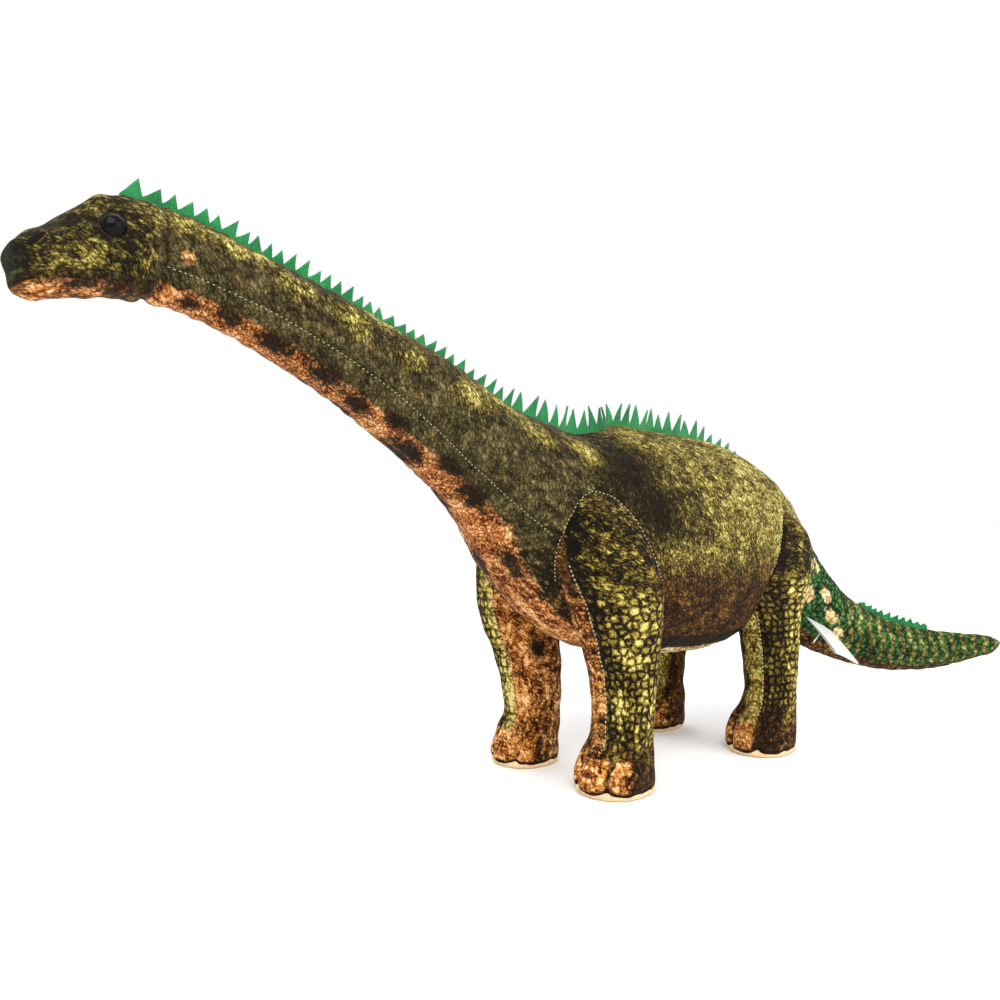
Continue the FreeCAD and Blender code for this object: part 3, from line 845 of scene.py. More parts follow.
@dataclass
class TrunkCloth:
    """Head, neck, body and tail: printed plush over soft filling, seamed along the sides and the
    back."""

    finishes: Finishes
    columns: int = 184
    rows: int = 96
    swell: float = 3.0           # mm
    seam_half: float = 2.1       # mm
    seam_depth: float = 1.8      # mm
    brows: tuple[Dent, ...] = (
        Dent(-262, -11.5, 275.5, 6.5, 3.4), Dent(-254, -12, 281, 5, 1.6),
        Dent(-270, -12, 266, 5, 1.2),
        Dent(-259, -20.7, 261.7, 7.5, -1.6), Dent(-249, -20, 252, 9, 1.2),
        Dent(-288, -9, 250, 5, 1.3),
        Dent(-276, -8, 262, 7, -1.2), Dent(-246, -10, 240, 8, 1.0))
    mouth: tuple[tuple[float, float, float], ...] = (
        (-297, 0, 237), (-292, -10, 237.5), (-285, -15, 238.5), (-276, -19, 241), (-266, -21, 243),
        (-256, -21, 243.5), (-246, -20, 243))
    neck_seam: tuple[tuple[float, float], ...] = (
        (-244, 207), (-212, 207), (-187, 203), (-159, 203), (-127, 207), (-110, 212), (-82, 219),
        (-59, 219), (-34, 214), (-20, 214),
        (20, 214), (60, 205), (186, 200), (250, 205), (366, 205))

    def __post_init__(self) -> None:
        """Makes the form."""
        self.form = TrunkForm()
        self.whole: bpy.types.Object | None = None

    def seam_turn(self, x: np.ndarray) -> np.ndarray:
        """Gives the left side seam's place round the trunk at an x of the spine."""
        return np.interp(x, *zip(*self.neck_seam))

    def build(self) -> None:
        """Wraps, fills and shapes the trunk's cloth as one piece."""
        piece = wrap("trunk_cloth", self.form.surface, self.columns, self.rows, self.finishes.trunk)
        _, grid = corner_uv(piece.data)
        x = self.form.curves.at(self.form.along(grid[:, 0]))[:, 0]
        turn = 360 * grid[:, 1] % 360
        left = np.where((turn > 90) & (turn < 270), turn, (540 - turn) % 360)
        pinned = np.maximum(band(left, 0, 90, 4), 1 - step(np.abs(left - self.seam_turn(x)), 0, 7))
        pinned = np.maximum(pinned, 1 - step(np.abs(x + 240), 0, 4))
        stuff(piece, np.clip(pinned + step(x, -262, -275) + step(x, 330, 345), 0, 1), self.swell)
        refine(piece)
        self.shape(piece)
        self.whole = piece

    def shape(self, piece: bpy.types.Object) -> None:
        """Presses in the seams, the brow, the mouth and the small wrinkles, then sizes the UV
        map and weighs the inks.

        Args:
            piece: the trunk's cloth.
        """
        mesh = piece.data
        corners, grid = corner_uv(mesh)
        along = self.form.along(grid[:, 0])
        x = self.form.curves.at(along)[:, 0]
        turn = 360 * grid[:, 1] % 360
        points = vertices(mesh) / MM - SHIFT
        out = normals(mesh)
        mirrored = points * np.array([1, -1, 1])
        left = np.where(points[:, 1:2] > 0, mirrored, points)
        push = sum(dent.push(left) for dent in self.brows)
        push = push + groove(left, self.mouth, 1.9, 1.7) * step(x, -240, -247)
        half = self.form.curves.at(along)[:, 3]
        away = np.abs(np.where((turn > 90) & (turn < 270), turn, (540 - turn) % 360)
                      - self.seam_turn(x)) * np.pi / 180 * half
        valley = self.seam_depth * np.exp(-(away / self.seam_half) ** 2)
        push -= valley * step(x, -246, -238) * step(x, 20, -10)
        ring = self.head_seam_gap(points)
        push -= 1.5 * np.exp(-(ring / 1.8) ** 2)
        rear = np.abs(x - 187 + (points[:, 2] - 110) * 0.12)
        push -= 0.9 * np.exp(-(rear / 2.0) ** 2)
        rough = np.sin(points[:, 0] * 0.31
                       + points[:, 2] * 0.23) * np.sin(points[:, 2] * 0.37 - points[:, 0] * 0.11)
        push += 0.35 * rough + 0.25 * np.sin(points[:, 0] * 0.71 + 2 * np.sin(points[:, 2] * 0.2))
        set_vertices(mesh, place(points + out * push[:, None]))
        self.weigh(mesh, x, turn, points)
        span = self.form.curves.at(self.form.along(corners[:, 0]))
        about = (360 * corners[:, 1]) % 360
        signed = np.where(about > 270, about - 360, np.where(about > 90, 180 - about, about))
        reach = (span[:, 3] + (span[:, 4] + span[:, 5]) / 2) / 2
        set_corner_uv(mesh,
                      np.stack([self.form.along(corners[:, 0]), np.radians(signed) * reach],
                               axis=1) * MM)

    @staticmethod
    def head_seam_gap(points: np.ndarray) -> np.ndarray:
        """Gives the distance to the seam between head and neck, which slants forward below."""
        line = -238.5 + np.interp(points[:, 2], [232, 243, 262, 280], [-7.5, 0.5, 0.0, 1.5])
        return np.where(points[:, 0] < -200, np.abs(points[:, 0] - line), 99.0)

    def weigh(self, mesh: bpy.types.Mesh, x: np.ndarray, turn: np.ndarray,
              points: np.ndarray) -> None:
        """Gives each vertex its share of every ink.

        Args:
            mesh: the trunk's cloth.
            x: each vertex's place along the spine.
            turn: degrees round it.
            points: in the toy's millimetres.
        """
        below = np.abs((turn - 270 + 180) % 360 - 180)   # degrees from the middle of the underside
        high = points[:, 2]
        head, snout = step(x, -237, -241), step(x, -285.5, -289.5)

        def spots(places: Sequence[tuple[float, float, float]], stretch: float = 1.0) -> np.ndarray:
            """Adds up round marks given as x, degrees from the underside, and reach in mm.

            Args:
                places: the marks.
                stretch: how much longer than wide they are.

            Returns:
                Each point's share of the marks, 0 to 1.
            """
            total = np.zeros(len(x))
            size = self.form.curves.at(self.form.along_at(x))[:, 3]
            for at, degrees, reach in places:
                gap = ((x - at) / stretch) ** 2 + (np.radians(below - degrees) * size) ** 2
                total = np.maximum(total, np.exp(-gap / reach ** 2))
            return total

        clusters = spots([(-231, 128, 9), (-215, 125, 8), (-186, 112, 8), (-160, 116, 10),
                          (-130, 112, 9), (-98, 116, 11),
                          (-60, 124, 10), (-32, 132, 11), (-200, 140, 7), (-145, 140, 8),
                          (-80, 140, 10)], 1.4)
        neck = band(x, -238, -30, 10)
        body = step(x, -30, 12) * step(x, 205, 188)
        patch = spots([(-6, 124, 17), (8, 105, 18)], 1.3)
        gold = neck * (0.26 + 0.5 * clusters
                       + 0.1 * step(below, 110, 140)) * (0.6 + 0.4 * step(below, 50, 75))
        dusk = neck * 0.9 * (1 - clusters) * step(x, 0, -60)
        gold = gold + body * (0.68 + 0.10 * step(x, 60, 120)
                              - 0.22 * step(below, 92, 62)) * (1 - 0.8 * patch)
        lip = np.interp(x, [-292, -264, -244], [237.5, 243, 243])
        muzzle = band(x, -284, -262, 4) * band(high - lip, 2, 10, 3)
        gold = gold + head * step(x, -289,
                                  -283) * (0.28 + 0.26 * muzzle + 0.16 * step(high, 262, 272))
        front = band(x, -236, -20, 6)
        border = np.interp(x, [-240, -200, -170, -140, -110, -80, -50, -28, -10],
                           [44, 42, 44, 37, 33, 35, 34, 26, 22])
        orange = front * step(below, border + 7, border - 9)
        orange = np.maximum(orange,
                            head * step(high - lip, 0.6, -1.6) * step(x, -262, -267)
                            * (0.66 + 0.2 * step(x, -278, -286)))
        orange = np.maximum(orange, 0.85 * band(x, -12, 60, 10) * step(below, 24, 16))
        orange = np.maximum(orange, 0.55 * spots([(-230, 84, 4.5)]))
        blotch = spots([(-204, 31, 6), (-182, 30, 8), (-157, 31, 9), (-138, 20, 8), (-121, 34, 6),
                        (-105, 12, 10), (-33, 17, 7),
                        (-70, 26, 9), (-272, 40, 5), (-222, 26, 5), (-88, 34, 7)], 1.25)
        blotch = np.maximum(blotch, body * band(below, 24, 36, 5) * step(x, 6, 22) * 0.85)
        blotch = np.maximum(blotch, 0.62 * patch)
        blotch = np.maximum(blotch, 0.62 * np.exp(-(self.head_seam_gap(points) / 2.2) ** 2))
        blotch = np.maximum(blotch, 0.66 * snout * step(high, 232, 238))
        blotch = np.maximum(blotch, 0.5 * head * band(high - lip, -1, 1.5, 1.5))
        tan = body * band(below, 14, 24, 4) * step(x, 40, 60)
        # The green spot round the eye is painted shade in the eye's hollow; the green above the
        # snout's lip is print.
        green = np.maximum(0.4 * snout * step(high - lip, 0, 4), 0.44 * spots([(-259, 108, 8.5)]))
        tail = step(x, 182, 208)
        reach = (points[:, 0] - points[:, 1]) / 1.41
        bands = 0.5 + 0.5 * np.sin(reach * 2 * np.pi / 8.4
                                   + 1.1 * np.sin(high * 0.35 + reach * 0.07)
                                   + 0.5 * np.sin(high * 0.9))
        green = np.maximum(green,
                           tail * (0.88 - 0.5 * step(x, 232, 256) * bands) * step(below, 28, 52))
        gold = np.maximum(gold, 0.72 * step(x, 190, 230) * step(below, 28, 52))
        rust = body * step(below, 96,
                           58) * (0.95 - 0.1 * step(x, 120, 160)) + tail * step(below, 62, 40)
        rust = np.maximum(rust, 0.9 * head * step(high - lip, 0.6, -1.6))
        cream = tail * spots([(196, 98, 8), (208, 112, 5), (213, 78, 6), (228, 99, 5), (239, 84, 5),
                              (250, 70, 4)], 1.2)
        cream = np.maximum(cream, 0.7 * tan)
        set_weights(mesh,
                    {"gold": gold, "dusk": dusk, "orange": orange, "blotch": blotch, "green": green,
                     "rust": rust, "cream": cream,
                           "cell": step(x, 262, 254) * step(x, 60, 140) * 0.35
                           + 0.6 * step(x, 186, 200)})

    def divide(self) -> None:
        """Cuts the cloth where the bodies change, fastens each length that rides on one body to it,
        and bakes the placement of the others.
        """
        source = self.whole.data
        smooth = normals(source)
        marks = source.attributes.new("source", "INT", "POINT")
        marks.data.foreach_set("value", np.arange(len(source.vertices), dtype=np.int32))
        ends = {s.name: (self.form.along_at(s.first) * MM, self.form.along_at(s.last) * MM)
                for s in STRETCHES}
        for stretch in STRETCHES:
            low, high = ends[stretch.name]
            bm = bmesh.new()
            bm.from_mesh(source)
            layer = bm.loops.layers.uv[UV_NAME]
            middles = {f: sum(c[layer].uv.x for c in f.loops) / len(f.loops) for f in bm.faces}
            first, last = stretch.first < -350, stretch.last > 390
            gone = [f for f,
                    m in middles.items() if not ((first or m >= low) and (last or m < high))]
            bmesh.ops.delete(bm, geom=gone, context="FACES")
            piece = new_object(f"{stretch.name}_cloth", bm, self.finishes.trunk)
            owner = np.empty(len(piece.data.vertices), np.int32)
            piece.data.attributes["source"].data.foreach_get("value", owner)
            piece.data.normals_split_custom_set_from_vertices([tuple(n) for n in smooth[owner]])
            piece.data.attributes.remove(piece.data.attributes["source"])
            stretch.attach(piece)
            if STANDS_FOR[stretch.name]:
                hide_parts(*STANDS_FOR[stretch.name])
            LOG.info("%s: %d faces", piece.name, len(piece.data.polygons))

    def stitch(self) -> None:
        """Lays the pale stitches along the neck's side seams."""
        tree = BVHTree.FromObject(self.whole, bpy.context.evaluated_depsgraph_get())
        for side, name in ((-1, "left"), (1, "right")):
            for stretch, first, last in ((STRETCHES[1], -237, -150), (STRETCHES[2], -150, -33)):
                x = np.linspace(first, last, 140)
                along = self.form.along_at(x)
                turn = self.seam_turn(x)
                middle = self.form.curves.at(along)[:, :3]
                rim = self.form.points(along, turn if side < 0 else 540 - turn)
                path, outward = self.fall(tree, middle, rim)
                piece = stitch_run(f"{stretch.name}_seam_{name}", path, outward,
                                   self.finishes.thread)
                stretch.attach(piece)
                LOG.info("%s", piece.name)

    @staticmethod
    def fall(tree: BVHTree, middle: np.ndarray, rim: np.ndarray) -> tuple[np.ndarray, np.ndarray]:
        """Drops points onto the cloth from outside.

        Args:
            tree: the cloth.
            middle: a point inside for each.
            rim: a point near the cloth for each.

        Returns:
            The points on the cloth and the outward directions, mm.
        """
        path, outward = [], []
        for inner, outer in zip(middle, rim):
            aim = unit(inner - outer)
            hit, normal, _, _ = tree.ray_cast(Vector(place(outer - aim * 12)), Vector(aim), 0.06)
            if hit is not None:
                path.append(np.array(hit) / MM - SHIFT)
                outward.append(np.array(normal))
        return np.array(path), np.array(outward)


# ---------------------------------------------------------------- legs

@dataclass(frozen=True)
class LegSizes:
    """One leg's slices, foot and hinge heights, in mm."""

    slices: tuple[tuple[float, ...], ...]
    hip: tuple[float, float]
    foot: tuple[float, float, float, float]   # middle x, middle y outwards, half length, half width
    arch: tuple[float, float]                 # x, z inside the seam that joins the leg to the body
    seam: float = 9.0        # degrees of the front seam, 0 straight ahead, positive outwards
    toe: float = 31.0        # degrees from straight ahead to each of the two clefts


HIP_OUT = 40.0          # mm from the middle plane to the hip, passed as the bend's place but not used
BEND_ABOVE = 34.0       # mm above the hip, passed as the top of a bend that is not made
BEND_BELOW = 30.0       # mm below the hip, passed as the foot of a bend that is not made
MM_PER_DEGREE = 0.34    # round a leg
PRINT_RADIUS = 21.0     # mm, the leg's mean radius, which sizes its print
REAR_PRINT_SHIFT = 300.0    # mm, so that the rear legs don't repeat the front ones' print

FRONT = LegSizes(
    slices=((166, -22, 0.1, 38, 0.1), (165, -22, 7, 38, 6), (161, -20.5, 15, 36.5, 12),
            (153, -17, 23, 36, 18.5),
            (140, -12.5, 30.5, 36.5, 22), (122, -7, 33.5, 37.5, 23.5), (106, -1.5, 29.5, 38.5, 23),
            (93, 0.5, 25.5, 39, 22),
            (60, 4.4, 18.4, 39.2, 17.9), (31, 3.2, 17.0, 39, 16.9), (16, 0.5, 20.2, 38, 19.5),
            (8, -0.8, 21.8, 38, 20.5), (3, -0.8, 21.2, 38, 20),
            (1.6, -0.5, 19, 38, 18), (1.5, 0, 0.1, 38, 0.1)),
    hip=(5.5, 118), foot=(-0.8, 38, 21.4, 20.3),
    arch=(-8, 118))
FRONT_RIGHT = replace(FRONT, seam=-11.0, foot=(0.6, 37.6, 20.0, 18.8), slices=(
    (163, -12, 0.1, 37, 0.1), (162, -12, 7, 37, 6), (158, -11, 14, 35.5, 11), (150, -8, 21, 35, 16),
    (138, -5, 27, 35, 19.5),
    (122, -4, 29.5, 36, 21), (106, -4, 27.5, 38, 22), (93, -3.5, 25, 39, 22),
    (60, 3.2, 19.8, 37, 18.6), (31, 4.4, 17.2, 35.8, 16.9),
    (16, 2.0, 18.8, 37, 18.2), (8, 0.6, 20.2, 37.6, 19), (3, 0.6, 19.6, 37.6, 18.6),
    (1.6, 0.8, 17.5, 37.6, 16.8), (1.5, 1, 0.1, 37.6, 0.1)))
REAR = LegSizes(
    slices=((158, 136, 0.1, 42, 0.1), (156.5, 136.5, 6, 42, 7), (153, 138, 12, 40, 14.5),
            (147, 141, 20, 38, 21),
            (138, 144.5, 28.5, 37.5, 24.5), (125, 143.5, 35, 38, 25), (110, 141, 36, 39, 23.5),
            (97, 140.5, 28.5, 41, 20.5),
            (86, 140, 22.5, 42.3, 18.8), (60, 142, 17.4, 42.6, 17.2), (34, 140.5, 15.8, 43, 16.2),
            (17, 134.5, 21, 42.3, 19.2),
            (8, 132.8, 22, 42.3, 19.6), (3, 132.8, 21.4, 42.3, 19), (1.6, 133, 19, 42.3, 17.5),
            (1.5, 133, 0.1, 42.3, 0.1)),
    hip=(143, 112), foot=(132.8, 42.3, 21.6, 19.4),
    arch=(141, 114), seam=17.0, toe=27.0)
REAR_RIGHT = replace(REAR, seam=-14.0, foot=(129.5, 43.8, 21.0, 19.0), slices=tuple(
    (z, x - 3.2 * min(1.0, max(0.0, (112 - z) / 60)), a,
     y + 1.5 * min(1.0, max(0.0, (112 - z) / 60)), b) for z, x, a, y, b in REAR.slices))


@dataclass
class Leg:
    """One leg: outer and inner plush panels over filling, three toe lobes, and a brushed sole."""

    where: str           # front or rear
    hand: str            # left or right
    sizes: LegSizes
    finishes: Finishes
    columns: int = 62
    rows: int = 60

    @property
    def body(self) -> str:
        """The body this leg is."""
        return f"{self.where}_{self.hand}_leg"

    @property
    def side(self) -> int:
        """-1 on the left, +1 on the right."""
        return -1 if self.hand == "left" else 1

    def fasten(self, piece: bpy.types.Object) -> bpy.types.Object:
        """Bakes a piece's placement; it is not bent between the torso at the top and the leg below
        the hip.

        Args:
            piece: a piece of the leg.

        Returns:
            The same piece.
        """
        x, z = self.sizes.hip
        y = self.side * HIP_OUT
        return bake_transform(piece, "torso", self.body, start=tuple(place((x, y, z + BEND_ABOVE))),
                        end=tuple(place((x, y, z - BEND_BELOW))))

    def build(self) -> bpy.types.Object:
        """Wraps, fills and shapes the leg's cloth.

        Returns:
            The cloth.
        """
        form = StackForm(self.sizes.slices, self.side)
        piece = wrap(f"{self.body}_cloth", form.surface, self.columns, self.rows, self.finishes.leg)
        points = vertices(piece.data) / MM - SHIFT
        stuff(piece, np.clip(step(points[:, 2], 8, 3) + step(self.off_seam(points), 4, 0), 0, 1),
              1.2)
        refine(piece)
        self.shape(piece)
        self.fasten(piece)
        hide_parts(f"{self.body}_stuffing", f"{self.body}_outer_panel",
                    f"{self.body}_inner_panel")
        LOG.info("%s: %d faces", piece.name, len(piece.data.polygons))
        self.sole()
        return piece

    def bearing(self, points: np.ndarray) -> np.ndarray:
        """Gives degrees round the leg, 0 straight ahead, positive outwards.

        Args:
            points: in the toy's mm.

        Returns:
            The degrees of each point.
        """
        middle = np.interp(points[:, 2],
                           *zip(*sorted((s[0], s[1]) for s in self.sizes.slices[2:-1])))
        wide = np.interp(points[:, 2], *zip(*sorted((s[0], s[3]) for s in self.sizes.slices[2:-1])))
        return np.degrees(np.arctan2(self.side * points[:, 1] - wide, middle - points[:, 0]))

    def off_seam(self, points: np.ndarray) -> np.ndarray:
        """Gives the distance in mm to the front seam."""
        return np.abs(self.bearing(points) - self.sizes.seam) * MM_PER_DEGREE

    def shape(self, piece: bpy.types.Object) -> None:
        """Presses in the seams, rounds the toes, sizes the UV map and weighs the inks.

        Args:
            piece: the leg's cloth.
        """
        mesh = piece.data
        points = vertices(mesh) / MM - SHIFT
        high, ahead = points[:, 2], self.bearing(points)
        push = -1.0 * np.exp(-(self.off_seam(points)
                               / 1.8) ** 2) * step(high, 150, 118) * step(high, 14, 26)
        toes = step(high, 34, 20) * step(high, 0.5, 5)
        for angle in (-2 * self.sizes.toe, 0, 2 * self.sizes.toe):
            push += 1.6 * toes * np.exp(-((ahead - angle) / 21) ** 2)
        push -= 2.8 * toes * np.exp(-((np.abs(ahead) - self.sizes.toe) / 6.5) ** 2)
        push -= 1.3 * np.exp(-((high - 28) / 4.5) ** 2) * np.exp(-(ahead / 75) ** 2)
        push += 0.35 * np.sin(high * 0.35 + ahead * 0.05) * np.sin(ahead * 0.09 + 1.0)
        points = points + normals(mesh) * push[:, None]
        points[:, 2] = np.maximum(points[:, 2], 0.6)
        set_vertices(mesh, place(points))
        self.weigh(mesh, high, ahead)
        corners, _ = corner_uv(mesh)
        curves = Curves(self.sizes.slices, slice(0, 5))
        mirrored = np.where(corners[:, 1] > 0.5, 1 - corners[:, 1], corners[:, 1])
        shift = REAR_PRINT_SHIFT if self.where == "rear" else 0.0
        set_corner_uv(mesh,
                      np.stack([corners[:, 0] * curves.length + shift,
                                mirrored * 2 * np.pi * PRINT_RADIUS], axis=1) * MM)

    def weigh(self, mesh: bpy.types.Mesh, high: np.ndarray, ahead: np.ndarray) -> None:
        """Gives each vertex its share of every ink; on the front legs some shares are painted shade
        and painted light.

        Args:
            mesh: the leg's cloth.
            high: height above the floor, mm.
            ahead: degrees round, 0 straight ahead, positive outwards.
        """
        seam = self.sizes.seam
        outer = step(ahead, seam - 2, seam + 3)
        toes = np.exp(-(np.maximum(np.abs(ahead) - 30, 0) / 37) ** 4 - ((high - 12.5) / 9.5) ** 4)
        toes = toes * (1 - 0.75 * np.exp(-((np.abs(ahead) - self.sizes.toe) / 5) ** 2))
        if self.where == "front":
            # Painted shade along the front edge of the left front leg's outer panel, and painted
            # light along the same edge of the right front leg.
            painted_edge_shade_and_light = step(ahead, seam + 26, seam + 6) * (0.34 if self.hand == "left" else -0.5)
            gold = outer * (0.46 + 0.04 * band(high, 40, 95, 15) - 0.06 * step(high, 105, 150)
                            - painted_edge_shade_and_light) + (1 - outer) * 0.3
            orange = (1 - outer) * (0.42 + 0.12 * band(high, 40, 105, 15)) * step(high, 125, 100)
            if self.hand == "right":
                orange = orange + 0.22 * band(ahead, -50, seam, 12)
            # The extra rust ink towards the foot of the front legs' outer panels is painted shade.
            rust = (1 - outer) * 0.85 + outer * (0.5 * step(ahead, 95, 130)
                                                 + 0.4 * step(high, 40, 22))
            blotch = (1 - outer) * np.exp(-((high - 72) / 7) ** 2 - ((ahead + 70) / 16) ** 2)
            blotch = np.maximum(blotch, 0.5 * step(high, 34, 20) * step(ahead, 60, 82))
        else:
            cells = step(ahead, 58, 74) * step(ahead, 190, 150)
            front_edge = (1 - outer) * step(ahead, seam - 60, seam - 30)
            gold = ((0.24 - 0.1 * step(high, 108, 128)) * outer + 0.34 * cells
                    + 0.8 * front_edge + 0.25 * (1 - outer - front_edge))
            orange = 0.2 * front_edge
            rust = np.maximum(0.8 * (1 - outer) * (1 - front_edge), 0.5 * step(high, 50, 20))
            blotch = outer * np.maximum((1 - cells) * 0.46,
                                        0.36 * step(high, 104, 124)
                                        * step(ahead, 105, 75)) + 0.3 * toes
        set_weights(mesh, {
            "gold": gold * step(high, 10, 22), "rust": np.maximum(rust, step(high, 30, 16) * 0.55),
            "orange": np.maximum(orange, toes * (0.95 if self.where == "front" else 0.72)),
            "blotch": np.maximum(blotch, step(high, 6.5, 4.0) * 0.9),
            "cream": step(high, 3.4, 2.2) * 0.9,
            "cell": step(high, 128, 100) * (0.55 + 0.45 * step(high, 20, 40))
            * (0.15 + 0.85 * outer)})

    def sole(self) -> None:
        """Makes the sole, whose wavy edge shows under the foot."""
        x, y, length, width = self.sizes.foot
        rings = ((0.0, x, 0.1, y, 0.1), (0.02, x, length - 2.2, y, width - 2.2),
                 (0.8, x, length - 0.3, y, width - 0.3),
                 (2.6, x, length + 0.5, y, width + 0.5), (3.9, x, length - 0.9, y, width - 0.9),
                 (3.4, x, 0.1, y, 0.1))
        piece = wrap(f"{self.body}_sole_cloth", StackForm(rings, self.side).surface, 14, 72,
                     self.finishes.sole)
        points = vertices(piece.data) / MM - SHIFT
        angle = np.arctan2(points[:, 1] - self.side * y, points[:, 0] - x)
        points[:, 2] = np.maximum(points[:, 2]
                                  + 0.55 * np.sin(angle * 13) * step(points[:, 2], 1.0, 2.2), 0.0)
        set_vertices(piece.data, place(points))
        self.fasten(piece)
        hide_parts(f"{self.body}_sole")
        LOG.info("%s", piece.name)

    def stitch(self, cloths: Sequence[bpy.types.Object]) -> None:
        """Lays stitches down the front seam and round the arch where the leg comes out of the body.

        Args:
            cloths: the trunk's cloth and this leg's.
        """
        graph = bpy.context.evaluated_depsgraph_get()
        trees = [BVHTree.FromObject(cloth, graph) for cloth in cloths]
        heights = np.linspace(126, 24, 120)
        rows = sorted((s[0], s[1], s[3], s[2], s[4]) for s in self.sizes.slices[2:-1])
        middle = np.stack([np.interp(heights, [r[0] for r in rows], [r[1] for r in rows]),
                           self.side * np.interp(heights, [r[0] for r in rows],
                                                 [r[2] for r in rows]), heights], axis=1)
        angle = math.radians(self.sizes.seam)
        aim = np.array([-math.cos(angle), self.side * math.sin(angle), 0.0])
        path, outward = TrunkCloth.fall(trees[1], middle, middle + aim * 24)
        hidden = [trees[0].find_nearest(Vector(place(p))) for p in path]
        keep = [i for i,
                (spot, normal, _, _) in enumerate(hidden)
                if (Vector(place(path[i])) - spot).dot(normal) > 0]
        piece = stitch_run(f"{self.body}_front_seam", path[keep], outward[keep],
                           self.finishes.thread, 2.6, (1.7, 0.8))
        self.fasten(piece)
        LOG.info("%s", piece.name)
        path, outward = [], []
        middle_x, middle_z = self.sizes.arch
        for degrees in np.linspace(-8, 186, 190):
            aim = np.array([math.cos(math.radians(degrees)), math.sin(math.radians(degrees))])
            for reach in np.arange(12, 62, 0.7):
                x, z = np.array([middle_x, middle_z]) + aim * reach
                start, inward = Vector(place((x, self.side * 110, z))), Vector((0, -self.side, 0))
                trunk, leg = (tree.ray_cast(start, inward, 0.11) for tree in trees)
                if trunk[0] is not None and (leg[0] is None or leg[3] > trunk[3]):
                    path.append(np.array(trunk[0]) / MM - SHIFT)
                    outward.append(np.array(trunk[1]))
                    break
        path, outward = (np.array(rows)[:-2] for rows in (path, outward))
        path = np.stack([np.convolve(np.pad(path[:, k], 4, "edge"), np.ones(9) / 9, "valid")
                         for k in range(3)], axis=1)
        piece = stitch_run(f"{self.body}_arch_seam", path, outward, self.finishes.thread,
                           size=(1.6, 0.5))
        self.fasten(piece)
        LOG.info("%s", piece.name)


# ---------------------------------------------------------------- spines

